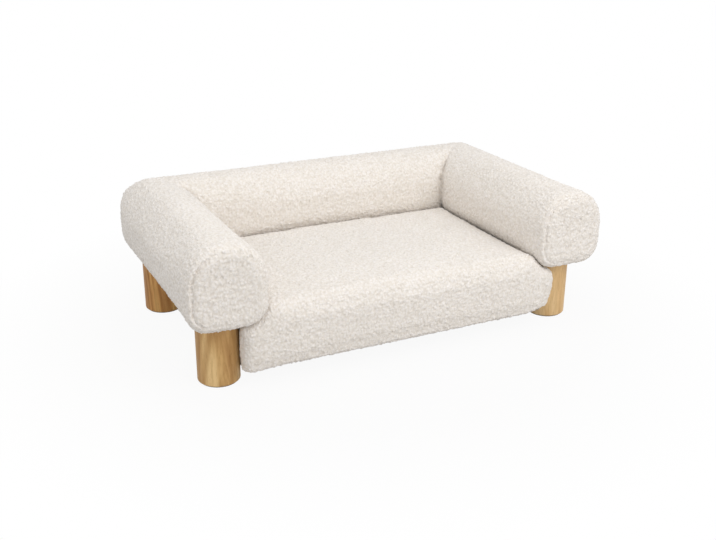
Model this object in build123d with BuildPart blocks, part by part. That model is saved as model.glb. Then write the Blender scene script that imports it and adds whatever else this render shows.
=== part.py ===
"""Dog sofa bed: a low bed on four round wooden legs.

Two arm rolls and a back roll meet in mitred corners and carry a plywood seat
tray between the legs. A thick seat cushion slides out of the tray to the front.
X is the width, Y runs to the back, Z is up, and the floor is at zero.
"""
from build123d import *
import math
import os

os.makedirs("parts", exist_ok=True)

# Overall sizes
sofa_width = 800.0
sofa_depth = 474.0
leg_height = 115.0
roll_height = 141.0
arm_width = 139.0
back_thickness = 120.0

# Section of the rolls: flats above and below, with wide rounds between them
roll_top_flat = 11.0
roll_bottom_flat = 61.0
front_rim_radius = 15.0
corner_radius = 40.0
cover_thickness = 3.0
foam_thickness = 22.0

# Front panels of the arms
panel_inset = 13.0
seam_width = 5.0
seam_height = 1.5

# Legs
leg_radius = 36.0
leg_outward_shift = 2.5
leg_front_inset = 69.0
leg_back_inset = 70.5
leg_foot_radius = 3.0
leg_top_chamfer = 1.0
pad_radius = 32.0
pad_thickness = 2.0

# Leg bolts and their threaded inserts
bolt_radius = 4.0
bolt_depth = 46.0
bolt_clearance = 0.1
nut_barrel_radius = 5.5
nut_barrel_length = 9.0
nut_flange_radius = 11.0
nut_flange_thickness = 1.6

# Wooden frame inside the rolls
board_thickness = 12.0
rib_thickness = 12.0
rib_foot_width = 44.0
arm_rib_count = 4
back_rib_count = 5
rail_width = 30.0
rail_thickness = 12.0
side_rail_height = 24.0
rail_sink = 3.0

# Steel plates that join the boards at the back corners
plate_arm_reach = 19.0
plate_back_reach = 41.0
plate_width = 38.0
plate_thickness = 2.0
plate_corner_radius = 6.0
plate_row_pitch = 20.0
plate_hole_shares = (-0.82, -0.34, 0.5)

# Wood screws
screw_radius = 2.0
screw_head_radius = 4.0
screw_head_height = 2.0
hanger_screw_length = 32.0
deck_screw_length = 27.0
plate_screw_length = 11.0
screw_clearance = 0.05

# Seat tray
deck_thickness = 12.0
deck_front_inset = 42.0
side_panel_thickness = 12.0
side_panel_clearance = 1.0
side_panel_end_clearance = 1.2
rear_rail_height = 20.0
rear_rail_thickness = 12.0
tray_cover_thickness = 2.5
tray_cover_round_share = 0.8
dust_cover_thickness = 0.8
dust_cover_margin = 6.0
screw_edge_inset = 24.0
panel_screw_count = 4
rail_screw_count = 4

# Seat cushion
seat_bottom_height = 30.0
seat_side_height = 141.0
seat_crown = 5.0
seat_front_setback = 5.7
seat_side_clearance = 0.8
seat_deck_clearance = 0.3
seat_roll_clearance = 0.5
seat_front_top_radius = 24.0
seat_front_side_radius = 14.0
seat_front_bottom_radius = 9.0
seat_front_depth = 20.0
seat_bottom_edge_radius = 5.0
seat_shoulder_radius = 9.0
seat_least_shoulder = 6.0
seat_rear_edge = 2.0
seat_rear_overhang = 33.0
seat_cover_thickness = 3.0
under_panel_inset = 14.0
edge_shares = (0.0, 0.25, 0.5, 0.75, 1.0)
shoulder_cut_share = 0.33
middle_place_shares = (0.3, 0.6)
front_crown_share = 0.6
rear_crown_share = 0.7
edge_crown_share = 0.1

# Zip on the cushion's rear border
zip_height = 36.0
zip_end_inset = 26.2
zip_tape_width = 24.0
zip_tape_thickness = 0.8
zip_coil_width = 4.0
zip_coil_thickness = 1.6
zip_coil_round_share = 0.4
zip_slot_width = 3.0
zip_stop_length = 3.0
zip_stop_width = 7.0
zip_stop_thickness = 2.6
zip_stop_round_share = 0.33
slider_length = 11.0
slider_width = 9.0
slider_wall = 1.2
slider_clearance = 0.3
slider_nose_share = 0.62
bail_radius = 1.0
bail_top_share = 0.6
pull_length = 28.0
pull_width = 7.0
pull_thickness = 1.6
pull_neck_share = 0.6
pull_round_share = 0.33
pull_grip_hole_radius = 1.6
pull_clearance = 0.4
bar_round_share = 0.45

# Cuts run this far past the faces that they go through
overrun = 10.0

# Places that follow from the sizes
half_width = sofa_width / 2
half_depth = sofa_depth / 2
arm_inner_x = half_width - arm_width
arm_centre_x = half_width - arm_width / 2
back_front_y = half_depth - back_thickness
back_centre_y = half_depth - back_thickness / 2
arm_front_y = -half_depth + seam_height
roll_top_z = leg_height + roll_height
back_share = back_thickness / arm_width
roll_top_radius = (arm_width - roll_top_flat) / 2
roll_bottom_radius = (arm_width - roll_bottom_flat) / 2
sides = (("left", -1), ("right", 1))

leg_x = arm_centre_x + leg_outward_shift
leg_front_y = -half_depth + leg_front_inset
leg_back_y = half_depth - leg_back_inset
leg_inner_x = leg_x - leg_radius
leg_places = [(side * leg_x, y) for side in (-1, 1) for y in (leg_front_y, leg_back_y)]

board_bottom_z = leg_height + cover_thickness
board_top_z = board_bottom_z + board_thickness
frame_inset = cover_thickness + foam_thickness
board_front_y = arm_front_y + frame_inset
arm_board_inner_x = arm_inner_x + roll_bottom_radius
arm_board_width = roll_bottom_flat
back_board_front_y = back_front_y + roll_bottom_radius * back_share
back_board_depth = back_thickness - roll_bottom_radius * back_share * 2
back_board_rear_y = back_board_front_y + back_board_depth


def roll_section(centre, width, inset, mode=Mode.ADD):
    """Rounded outline of a roll, drawn in the open sketch, inset from its outside."""
    share = width / arm_width
    half = width / 2 - inset
    low = leg_height + inset
    high = roll_top_z - inset
    top_x = roll_top_radius * share - inset
    top_z = roll_top_radius - inset
    bottom_x = roll_bottom_radius * share - inset
    bottom_z = roll_bottom_radius - inset
    with BuildLine() as outline:
        EllipticalCenterArc((centre + half - bottom_x, low + bottom_z), bottom_x, bottom_z, -90)
        Line((centre + half, low + bottom_z), (centre + half, high - top_z))
        EllipticalCenterArc((centre + half - top_x, high - top_z), top_x, top_z, 0)
        Line((centre + half - top_x, high), (centre - half + top_x, high))
        EllipticalCenterArc((centre - half + top_x, high - top_z), top_x, top_z, 90)
        Line((centre - half, high - top_z), (centre - half, low + bottom_z))
        EllipticalCenterArc((centre - half + bottom_x, low + bottom_z), bottom_x, bottom_z, 180)
        Line((centre - half + bottom_x, low), (centre + half - bottom_x, low))
    make_face(outline.edges(), mode=mode)


def plan_outline(inset):
    """The sofa's outline seen from above, with its two rounded back corners."""
    width = sofa_width - inset * 2
    depth = sofa_depth + overrun - inset
    with Locations((0, half_depth - inset - depth / 2)):
        Rectangle(width, depth)
    fillet(vertices().group_by(Axis.Y)[-1], corner_radius - inset)


def arm_roll(side, inset):
    """One arm roll inset all round: rounded front rim, mitred where it meets the back."""
    front = arm_front_y + inset
    with BuildPart() as roll:
        with BuildSketch(Plane.XZ.offset(-front)):
            roll_section(side * arm_centre_x, arm_width, inset)
        extrude(amount=-(half_depth - inset - front))
        with BuildSketch(Plane.XY):
            plan_outline(inset)
            with BuildLine():
                Polyline(
                    (side * arm_inner_x, back_front_y),
                    (side * half_width, half_depth),
                    (side * (half_width + overrun), half_depth),
                    (side * (half_width + overrun), -half_depth - overrun),
                    (side * arm_inner_x, -half_depth - overrun),
                    close=True,
                )
            make_face(mode=Mode.INTERSECT)
        extrude(amount=roll_top_z + overrun, mode=Mode.INTERSECT)
        rim = roll.faces().sort_by(Axis.Y)[0].edges()
        fillet(rim, front_rim_radius - inset)
    return roll.part


def back_roll(inset):
    """The back roll inset all round, mitred at both ends."""
    with BuildPart() as roll:
        with BuildSketch(Plane.YZ.offset(-half_width + inset)):
            roll_section(back_centre_y, back_thickness, inset)
        extrude(amount=sofa_width - inset * 2)
        with BuildSketch(Plane.XY):
            plan_outline(inset)
            with BuildLine():
                Polyline(
                    (-arm_inner_x, back_front_y),
                    (arm_inner_x, back_front_y),
                    (half_width, half_depth),
                    (-half_width, half_depth),
                    close=True,
                )
            make_face(mode=Mode.INTERSECT)
        extrude(amount=roll_top_z + overrun, mode=Mode.INTERSECT)
    return roll.part


def drill(places, radius, low, high):
    """Cut straight round holes between two heights in the open part."""
    with BuildSketch(Plane.XY.offset(low)) as holes:
        with Locations(*places):
            Circle(radius)
    extrude(holes.sketch, amount=high - low, mode=Mode.SUBTRACT)


def countersink(places, surface_z, depth, plane):
    """Cut screw holes with a cone for the head, from a surface that faces the plane's way."""
    with Locations(*[Plane((x, y, surface_z), z_dir=plane.z_dir) for x, y in places]):
        CounterSinkHole(
            screw_radius + screw_clearance, screw_head_radius + screw_clearance, depth,
            counter_sink_angle=90,
        )


def countersunk_screws(places, surface_z, length, plane):
    """Wood screws whose heads lie flush with a surface that faces the plane's way."""
    with BuildPart() as group:
        with Locations(*[Plane((x, y, surface_z), z_dir=plane.z_dir) for x, y in places]):
            Cylinder(screw_radius, length, align=(Align.CENTER, Align.CENTER, Align.MAX))
            Cone(
                screw_radius, screw_head_radius, screw_head_radius - screw_radius,
                align=(Align.CENTER, Align.CENTER, Align.MAX),
            )
    return group.part


def spaced(first, last, count):
    """Evenly spaced places from first to last."""
    return [first + (last - first) * step / (count - 1) for step in range(count)]


def save(piece, name):
    """Label a finished piece and write its file."""
    piece.label = name
    export_step(piece, f"parts/{name}.step")


# Screw places: arm board to side panel, deck to side panel, deck to rear rail
side_panel_front_y = leg_front_y + leg_radius + side_panel_end_clearance
side_panel_rear_y = leg_back_y - leg_radius - side_panel_end_clearance
side_panel_length = side_panel_rear_y - side_panel_front_y
side_panel_inner_x = leg_inner_x + side_panel_clearance
side_panel_outer_x = side_panel_inner_x + side_panel_thickness
deck_top_z = seat_bottom_height - seat_deck_clearance
deck_bottom_z = deck_top_z - deck_thickness
hanger_screw_x = (max(arm_board_inner_x, side_panel_inner_x) + side_panel_outer_x) / 2
deck_screw_x = (side_panel_inner_x + side_panel_outer_x) / 2
panel_screw_ys = spaced(
    side_panel_front_y + screw_edge_inset, side_panel_rear_y - screw_edge_inset, panel_screw_count
)
seat_rear_y = back_front_y + seat_rear_overhang
rear_rail_front_y = seat_rear_y + seat_roll_clearance + tray_cover_thickness
rear_rail_rear_y = rear_rail_front_y + rear_rail_thickness
rear_rail_centre_y = (rear_rail_front_y + rear_rail_rear_y) / 2
tray_half_width = leg_inner_x - seat_side_clearance
rail_screw_xs = spaced(
    -tray_half_width + screw_edge_inset, tray_half_width - screw_edge_inset, rail_screw_count
)
rail_screw_places = [(x, rear_rail_centre_y) for x in rail_screw_xs]


def hanger_screw_places(side):
    return [(side * hanger_screw_x, y) for y in panel_screw_ys]


def deck_screw_places(side):
    return [(side * deck_screw_x, y) for y in panel_screw_ys]


# Plates lie on the seam between each arm board and the back board
plate_y = (back_board_front_y + back_board_rear_y) / 2
plate_length = plate_arm_reach + plate_back_reach
plate_centre_x = arm_board_inner_x + (plate_arm_reach - plate_back_reach) / 2
plate_places = [(side * plate_centre_x, plate_y) for side in (-1, 1)]
plate_top_z = board_top_z + plate_thickness
plate_screw_places = [
    (side * (arm_board_inner_x + share * reach), plate_y + row * plate_row_pitch / 2)
    for side in (-1, 1)
    for share, reach in zip(plate_hole_shares, (plate_back_reach, plate_back_reach, plate_arm_reach))
    for row in (-1, 1)
]

# Ribs stand on the boards between the front and the corner blocks of foam
arm_rib_ys = spaced(
    board_front_y + rib_thickness / 2, back_front_y - rib_thickness / 2, arm_rib_count
)
back_rib_limit = arm_board_inner_x - plate_back_reach - rib_thickness / 2
back_rib_xs = spaced(-back_rib_limit, back_rib_limit, back_rib_count)
rib_top_z = roll_top_z - frame_inset
top_rail_z = rib_top_z - rail_sink - rail_thickness
rib_flat_z = (leg_height + roll_bottom_radius + roll_top_z - roll_top_radius) / 2
side_rail_z = rib_flat_z - side_rail_height / 2


def rail_boxes(centre, width):
    """Low corner and size, across and up, of the three rails let into a row of ribs."""
    half = width / 2 - frame_inset
    top = (centre - rail_width / 2, top_rail_z, rail_width, rail_thickness)
    near = (centre - half, side_rail_z, rail_thickness, side_rail_height)
    far = (centre + half - rail_thickness, side_rail_z, rail_thickness, side_rail_height)
    return (top, near, far)


def rib_outline(centre, width):
    """Outline of a rib: the roll's section inside the foam, on a straight foot."""
    roll_section(centre, width, frame_inset)
    foot_top = leg_height + frame_inset + roll_bottom_radius
    with Locations((centre, (board_top_z + foot_top) / 2)):
        Rectangle(rib_foot_width * width / arm_width, foot_top - board_top_z)


def rib_notches(centre, width):
    """Notches for the rails, cut from the open sketch of a rib."""
    for low_across, low_up, across, up in rail_boxes(centre, width):
        height = up
        if low_up == top_rail_z:
            height = up + rail_sink + overrun
        with Locations((low_across + across / 2, low_up + height / 2)):
            Rectangle(across, height, mode=Mode.SUBTRACT)


# Legs: turned posts with an eased foot, a small chamfer on top and a bolt hole
for (x, y), name in zip(
    leg_places, ("front_left_leg", "rear_left_leg", "front_right_leg", "rear_right_leg")
):
    with BuildPart(Plane.XY.offset(pad_thickness)) as leg:
        with Locations((x, y, (leg_height - pad_thickness) / 2)):
            Cylinder(leg_radius, leg_height - pad_thickness)
        fillet(leg.edges().group_by(Axis.Z)[0], leg_foot_radius)
        chamfer(leg.edges().group_by(Axis.Z)[-1], leg_top_chamfer)
        drill([(x, y)], bolt_radius + bolt_clearance, leg_height - bolt_depth, leg_height + overrun)
    save(leg.part, name)

with BuildPart() as leg_pads:
    with BuildSketch():
        with Locations(*leg_places):
            Circle(pad_radius)
    extrude(amount=pad_thickness)
save(leg_pads.part, "leg_pads")

bolt_top_z = board_top_z + nut_flange_thickness
with BuildPart() as leg_bolts:
    with BuildSketch(Plane.XY.offset(leg_height - bolt_depth)):
        with Locations(*leg_places):
            Circle(bolt_radius)
    extrude(amount=bolt_top_z - leg_height + bolt_depth)
    chamfer(leg_bolts.edges().group_by(Axis.Z)[0], bolt_radius / 2)
save(leg_bolts.part, "leg_bolts")

with BuildPart() as tee_nuts:
    with BuildSketch(Plane.XY.offset(board_top_z - nut_barrel_length)):
        with Locations(*leg_places):
            Circle(nut_barrel_radius)
    extrude(amount=nut_barrel_length)
    with BuildSketch(Plane.XY.offset(board_top_z)):
        with Locations(*leg_places):
            Circle(nut_flange_radius)
    extrude(amount=nut_flange_thickness)
    drill(leg_places, bolt_radius + bolt_clearance, board_bottom_z, bolt_top_z + overrun)
save(tee_nuts.part, "tee_nuts")


def board_holes(side):
    """Holes in an arm board: leg bolts, nut barrels, plate screws and hanger screws."""
    legs = [place for place in leg_places if place[0] * side > 0]
    drill(legs, bolt_radius + bolt_clearance, board_bottom_z - overrun, board_top_z)
    drill(legs, nut_barrel_radius + bolt_clearance, board_top_z - nut_barrel_length, board_top_z)
    plates = [place for place in plate_screw_places if place[0] * side > arm_board_inner_x]
    drill(
        plates, screw_radius + screw_clearance, plate_top_z - plate_screw_length, board_top_z
    )
    countersink(hanger_screw_places(side), board_top_z, board_thickness, Plane.XY)


for label, side in sides:
    arm_foam_shape = arm_roll(side, cover_thickness)
    centre = side * arm_centre_x
    board_centre_x = side * (arm_board_inner_x + arm_board_width / 2)
    board_length = back_board_rear_y - board_front_y
    board_centre_y = (back_board_rear_y + board_front_y) / 2
    legs_here = [place for place in leg_places if place[0] * side > 0]

    # The board lies flat in the bottom of the arm and takes the legs
    with BuildPart() as arm_board:
        with BuildSketch(Plane.XY.offset(board_bottom_z)):
            with Locations((board_centre_x, board_centre_y)):
                Rectangle(arm_board_width, board_length)
        extrude(amount=board_thickness)
        board_holes(side)
    save(arm_board.part, f"{label}_arm_board")

    # Ribs give the arm its round section under the foam
    with BuildPart() as arm_ribs:
        for y in arm_rib_ys:
            with BuildSketch(Plane.XZ.offset(-(y - rib_thickness / 2))):
                rib_outline(centre, arm_width)
                rib_notches(centre, arm_width)
            extrude(amount=-rib_thickness)
    save(arm_ribs.part, f"{label}_arm_ribs")

    # Rails lie in the ribs' notches and tie them together
    with BuildPart() as arm_rails:
        with BuildSketch(Plane.XZ.offset(-(arm_rib_ys[0] - rib_thickness / 2))):
            for low_across, low_up, across, up in rail_boxes(centre, arm_width):
                with Locations((low_across + across / 2, low_up + up / 2)):
                    Rectangle(across, up)
        extrude(amount=-(arm_rib_ys[-1] - arm_rib_ys[0] + rib_thickness))
    save(arm_rails.part, f"{label}_arm_rails")

    # Foam: solid in front and in the corner, hollow round the ribs
    with BuildPart() as arm_foam:
        add(arm_foam_shape)
        with BuildSketch(Plane.XZ.offset(-(arm_rib_ys[0] - rib_thickness / 2))):
            rib_outline(centre, arm_width)
        extrude(amount=-(arm_rib_ys[-1] - arm_rib_ys[0] + rib_thickness), mode=Mode.SUBTRACT)
        with BuildSketch(Plane.XY.offset(board_bottom_z)):
            with Locations((board_centre_x, board_centre_y)):
                Rectangle(arm_board_width, board_length)
            with Locations((0, plate_y)):
                Rectangle(arm_board_inner_x * 2, back_board_depth)
        extrude(amount=board_thickness, mode=Mode.SUBTRACT)
        with BuildSketch(Plane.XY.offset(board_top_z)):
            with Locations((side * plate_centre_x, plate_y)):
                Rectangle(plate_length, plate_width)
        extrude(amount=plate_thickness + screw_head_height, mode=Mode.SUBTRACT)
        drill(legs_here, nut_flange_radius, board_top_z, bolt_top_z)
    save(arm_foam.part, f"{label}_arm_foam")

    # Cover: a sewn sleeve, open at the front for the end panel and at the mitre
    with BuildPart() as arm_cover:
        add(arm_roll(side, 0))
        add(arm_foam_shape, mode=Mode.SUBTRACT)
        with BuildSketch(Plane.XZ.offset(-arm_front_y)):
            roll_section(centre, arm_width, panel_inset)
        extrude(amount=-cover_thickness, mode=Mode.SUBTRACT)
        drill(legs_here, bolt_radius + bolt_clearance, leg_height - overrun, board_bottom_z)
        drill(
            hanger_screw_places(side), screw_radius + screw_clearance, leg_height - overrun,
            board_bottom_z,
        )
    save(arm_cover.part, f"{label}_arm_cover")

    # Front panel of the arm with the seam that stands up round its edge
    with BuildPart() as end_panel:
        with BuildSketch(Plane.XZ.offset(-arm_front_y)):
            roll_section(centre, arm_width, panel_inset)
        extrude(amount=-cover_thickness)
        with BuildSketch(Plane.XZ.offset(-arm_front_y)):
            roll_section(centre, arm_width, panel_inset)
            roll_section(centre, arm_width, panel_inset + seam_width, Mode.SUBTRACT)
        extrude(amount=seam_height)
    save(end_panel.part, f"{label}_arm_end_panel")

# Back: board, ribs, rails, foam and cover
back_foam_shape = back_roll(cover_thickness)

with BuildPart() as back_board:
    with BuildSketch(Plane.XY.offset(board_bottom_z)):
        with Locations((0, plate_y)):
            Rectangle(arm_board_inner_x * 2, back_board_depth)
    extrude(amount=board_thickness)
    inner_screws = [place for place in plate_screw_places if abs(place[0]) < arm_board_inner_x]
    drill(
        inner_screws, screw_radius + screw_clearance,
        plate_top_z - plate_screw_length, board_top_z,
    )
save(back_board.part, "back_board")

with BuildPart() as back_ribs:
    for x in back_rib_xs:
        with BuildSketch(Plane.YZ.offset(x - rib_thickness / 2)):
            rib_outline(back_centre_y, back_thickness)
            rib_notches(back_centre_y, back_thickness)
        extrude(amount=rib_thickness)
save(back_ribs.part, "back_ribs")

with BuildPart() as back_rails:
    with BuildSketch(Plane.YZ.offset(back_rib_xs[0] - rib_thickness / 2)):
        for low_across, low_up, across, up in rail_boxes(back_centre_y, back_thickness):
            with Locations((low_across + across / 2, low_up + up / 2)):
                Rectangle(across, up)
    extrude(amount=back_rib_xs[-1] - back_rib_xs[0] + rib_thickness)
save(back_rails.part, "back_rails")

with BuildPart() as back_foam:
    add(back_foam_shape)
    with BuildSketch(Plane.YZ.offset(back_rib_xs[0] - rib_thickness / 2)):
        rib_outline(back_centre_y, back_thickness)
    extrude(amount=back_rib_xs[-1] - back_rib_xs[0] + rib_thickness, mode=Mode.SUBTRACT)
    with BuildSketch(Plane.XY.offset(board_bottom_z)):
        with Locations((0, plate_y)):
            Rectangle((arm_board_inner_x + arm_board_width) * 2, back_board_depth)
    extrude(amount=board_thickness, mode=Mode.SUBTRACT)
    with BuildSketch(Plane.XY.offset(board_top_z)):
        with Locations(*plate_places):
            Rectangle(plate_length, plate_width)
    extrude(amount=plate_thickness + screw_head_height, mode=Mode.SUBTRACT)
    rear_legs = [place for place in leg_places if place[1] > 0]
    drill(rear_legs, nut_flange_radius, board_top_z, bolt_top_z)
save(back_foam.part, "back_foam")

with BuildPart() as back_cover:
    add(back_roll(0))
    add(back_foam_shape, mode=Mode.SUBTRACT)
    drill(rear_legs, bolt_radius + bolt_clearance, leg_height - overrun, board_bottom_z)
save(back_cover.part, "back_cover")

# Steel plates over the seams between the boards, and their round-headed screws
with BuildPart() as corner_plates:
    with BuildSketch(Plane.XY.offset(board_top_z)):
        with Locations(*plate_places):
            RectangleRounded(plate_length, plate_width, plate_corner_radius)
    extrude(amount=plate_thickness)
    drill(plate_screw_places, screw_radius + screw_clearance, board_top_z, plate_top_z)
save(corner_plates.part, "corner_plates")

with BuildPart() as plate_screws:
    with BuildSketch(Plane.XY.offset(plate_top_z - plate_screw_length)):
        with Locations(*plate_screw_places):
            Circle(screw_radius)
    extrude(amount=plate_screw_length)
    with BuildSketch(Plane.XY.offset(plate_top_z)):
        with Locations(*plate_screw_places):
            Circle(screw_head_radius)
    extrude(amount=screw_head_height)
    fillet(plate_screws.edges().group_by(Axis.Z)[-1], screw_head_height / 2)
save(plate_screws.part, "plate_screws")

# Seat tray: deck, side panels that hang it from the arms, and a low rail behind
deck_front_y = -half_depth + deck_front_inset


def deck_nose(inset, mode=Mode.ADD):
    """The deck's front stretch, drawn in the open sketch, inset at its front and sides."""
    front_y = deck_front_y + inset
    with Locations((0, (front_y + side_panel_front_y) / 2)):
        Rectangle((tray_half_width - inset) * 2, side_panel_front_y - front_y, mode=mode)


with BuildPart() as deck_board:
    with BuildSketch(Plane.XY.offset(deck_bottom_z)):
        with Locations((0, (side_panel_front_y + rear_rail_rear_y) / 2)):
            Rectangle(tray_half_width * 2, rear_rail_rear_y - side_panel_front_y)
        with Locations((0, (side_panel_front_y + side_panel_rear_y) / 2)):
            Rectangle(side_panel_outer_x * 2, side_panel_length)
        deck_nose(tray_cover_thickness)
    extrude(amount=deck_thickness)
    deck_holes = deck_screw_places(-1) + deck_screw_places(1) + rail_screw_places
    countersink(deck_holes, deck_bottom_z, deck_thickness, -Plane.XY)
save(deck_board.part, "deck_board")

# A strip of the cover cloth goes round the deck's front edge and back to the side panels
with BuildPart() as deck_front_cover:
    with BuildSketch(Plane.XY.offset(deck_bottom_z)):
        deck_nose(0)
        deck_nose(tray_cover_thickness, Mode.SUBTRACT)
    extrude(amount=deck_thickness)
    fillet(
        deck_front_cover.edges().filter_by(Axis.Z).group_by(Axis.Y)[0],
        tray_cover_thickness * tray_cover_round_share,
    )
save(deck_front_cover.part, "deck_front_cover")

for label, side in sides:
    panel_centre = (
        side * (side_panel_inner_x + side_panel_outer_x) / 2,
        (side_panel_front_y + side_panel_rear_y) / 2,
    )
    with BuildPart() as side_panel:
        with BuildSketch(Plane.XY.offset(deck_top_z)):
            with Locations(panel_centre):
                Rectangle(side_panel_thickness, side_panel_length)
        extrude(amount=leg_height - deck_top_z)
        hole_radius = screw_radius + screw_clearance
        deck_reach = deck_bottom_z + deck_screw_length + screw_clearance
        drill(deck_screw_places(side), hole_radius, deck_top_z - overrun, deck_reach)
        hanger_reach = board_top_z - hanger_screw_length - screw_clearance
        drill(hanger_screw_places(side), hole_radius, hanger_reach, leg_height + overrun)
    save(side_panel.part, f"{label}_side_panel")

    with BuildPart() as side_cover:
        cover_centre_x = side * (side_panel_outer_x + tray_cover_thickness / 2)
        with BuildSketch(Plane.XY.offset(deck_bottom_z)):
            with Locations((cover_centre_x, panel_centre[1])):
                Rectangle(tray_cover_thickness, side_panel_length)
        extrude(amount=leg_height - deck_bottom_z)
    save(side_cover.part, f"{label}_side_cover")

with BuildPart() as rear_rail:
    with BuildSketch(Plane.XY.offset(deck_top_z)):
        with Locations((0, rear_rail_centre_y)):
            Rectangle(tray_half_width * 2, rear_rail_thickness)
    extrude(amount=rear_rail_height)
    drill(
        rail_screw_places, screw_radius + screw_clearance, deck_top_z - overrun,
        deck_bottom_z + deck_screw_length + screw_clearance,
    )
save(rear_rail.part, "rear_rail")

# The rail's cover folds over it and down behind the deck's edge
rail_top_z = deck_top_z + rear_rail_height
with BuildPart() as rear_rail_cover:
    with BuildSketch(Plane.YZ.offset(-tray_half_width)):
        with BuildLine():
            Polyline(
                (rear_rail_front_y, deck_top_z),
                (rear_rail_front_y, rail_top_z),
                (rear_rail_rear_y, rail_top_z),
                (rear_rail_rear_y, deck_bottom_z),
                (rear_rail_rear_y + tray_cover_thickness, deck_bottom_z),
                (rear_rail_rear_y + tray_cover_thickness, rail_top_z + tray_cover_thickness),
                (rear_rail_front_y - tray_cover_thickness, rail_top_z + tray_cover_thickness),
                (rear_rail_front_y - tray_cover_thickness, deck_top_z),
                close=True,
            )
        make_face()
    extrude(amount=tray_half_width * 2)
    fillet(
        rear_rail_cover.edges().filter_by(Axis.X).group_by(Axis.Z)[-1],
        tray_cover_thickness * tray_cover_round_share,
    )
save(rear_rail_cover.part, "rear_rail_cover")

with BuildPart() as dust_cover:
    with BuildSketch(Plane.XY.offset(deck_bottom_z - dust_cover_thickness)):
        with Locations((0, (deck_front_y + rear_rail_rear_y) / 2)):
            Rectangle(
                (tray_half_width - dust_cover_margin) * 2,
                rear_rail_rear_y - deck_front_y - dust_cover_margin * 2,
            )
        with Locations((0, (side_panel_front_y + side_panel_rear_y) / 2)):
            Rectangle(
                (side_panel_outer_x - screw_head_radius / 2) * 2,
                side_panel_length - dust_cover_margin * 2,
            )
    extrude(amount=dust_cover_thickness)
save(dust_cover.part, "dust_cover")

hanger_places = hanger_screw_places(-1) + hanger_screw_places(1)
save(countersunk_screws(hanger_places, board_top_z, hanger_screw_length, Plane.XY), "hanger_screws")
save(countersunk_screws(deck_holes, deck_bottom_z, deck_screw_length, -Plane.XY), "deck_screws")

# Seat cushion: shoulders and rear edge are drawn in to pass under the rolls
seat_half_width = tray_half_width
seat_front_y = -half_depth + seat_front_setback
side_arc_x = arm_inner_x + roll_bottom_radius
side_arc_z = leg_height + roll_bottom_radius
rear_arc_y = back_front_y + roll_bottom_radius * back_share
side_reach = (roll_bottom_radius + seat_roll_clearance) * math.sqrt(2)
rear_reach = math.hypot(
    roll_bottom_radius * back_share + seat_roll_clearance, roll_bottom_radius + seat_roll_clearance
)


def seat_section(inset, side_in, top_in, bottom_in, shoulder_in, top_z, crown):
    """One cross section of the cushion: flat base, slanting shoulders and a crowned top."""
    half = seat_half_width - inset - side_in
    low = seat_bottom_height + inset + bottom_in
    top = top_z - inset - top_in
    slant = side_arc_x + side_arc_z - side_reach - (inset + shoulder_in) * math.sqrt(2)
    base_radius = seat_bottom_edge_radius
    shoulder = max(half - (slant - top), seat_least_shoulder)
    shoulder_x = half - shoulder
    shoulder_z = top - shoulder
    length = shoulder * math.sqrt(2)
    cut = min(seat_shoulder_radius * math.tan(math.pi / 8), length * shoulder_cut_share)
    slope = cut / math.sqrt(2)
    with BuildLine() as outline:
        Line((-half + base_radius, low), (half - base_radius, low))
        TangentArc((half - base_radius, low), (half, low + base_radius), tangent=(1, 0))
        Line((half, low + base_radius), (half, shoulder_z - cut))
        TangentArc(
            (half, shoulder_z - cut), (half - slope, shoulder_z + slope), tangent=(0, 1)
        )
        Line((half - slope, shoulder_z + slope), (shoulder_x + slope, top - slope))
        TangentArc((shoulder_x + slope, top - slope), (shoulder_x - cut, top), tangent=(-1, 1))
        ThreePointArc((shoulder_x - cut, top), (0, top + crown), (cut - shoulder_x, top))
        TangentArc((cut - shoulder_x, top), (-shoulder_x - slope, top - slope), tangent=(-1, 0))
        Line((-shoulder_x - slope, top - slope), (slope - half, shoulder_z + slope))
        TangentArc(
            (slope - half, shoulder_z + slope), (-half, shoulder_z - cut), tangent=(-1, -1)
        )
        Line((-half, shoulder_z - cut), (-half, low + base_radius))
        TangentArc((-half, low + base_radius), (-half + base_radius, low), tangent=(0, -1))
    make_face(outline.edges())


def seat_block(inset):
    """The cushion inset all round, lofted from front to back."""
    front = seat_front_y + inset
    rear = seat_rear_y - inset
    rear_slant = rear_arc_y + side_arc_z - rear_reach - inset * math.sqrt(2)
    fall_top = seat_side_height - inset + seat_crown * rear_crown_share
    fall_y = rear_slant - fall_top
    low_y = rear - seat_rear_edge
    low_top = rear_slant - low_y + inset - seat_crown * edge_crown_share
    stations = []
    for share in edge_shares:
        turn = math.radians(90 * share)
        rest = 1 - math.sin(turn)
        stations.append(
            (
                front + (seat_front_depth - inset) * (1 - math.cos(turn)),
                (seat_front_side_radius - inset) * rest,
                (seat_front_top_radius - inset) * rest,
                (seat_front_bottom_radius - inset) * rest,
                seat_side_height,
                front_crown_share,
            )
        )
    for share in middle_place_shares:
        y = front + (fall_y - front) * share
        stations.append((y, 0, 0, 0, seat_side_height, 1))
    stations.append((fall_y, 0, 0, 0, seat_side_height, rear_crown_share))
    stations.append((low_y, 0, 0, 0, low_top, edge_crown_share))
    stations.append(
        (rear, seat_rear_edge, seat_rear_edge, seat_rear_edge, low_top, edge_crown_share)
    )
    with BuildPart() as block:
        for y, side_in, top_in, bottom_in, top_z, crown_share in stations:
            shoulder_in = (side_in + top_in) / 2
            if top_z == low_top:
                shoulder_in += seat_shoulder_radius
            with BuildSketch(Plane.XZ.offset(-y)):
                seat_section(
                    inset, side_in, top_in, bottom_in, shoulder_in, top_z, seat_crown * crown_share
                )
        loft(ruled=True)
    return block.part


seat_core_shape = seat_block(seat_cover_thickness)
zip_z = seat_bottom_height + zip_height
zip_length = (seat_half_width - zip_end_inset) * 2
under_half_width = seat_half_width - under_panel_inset
under_length = seat_rear_y - seat_front_y - under_panel_inset * 2
under_centre_y = (seat_rear_y + seat_front_y) / 2

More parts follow.
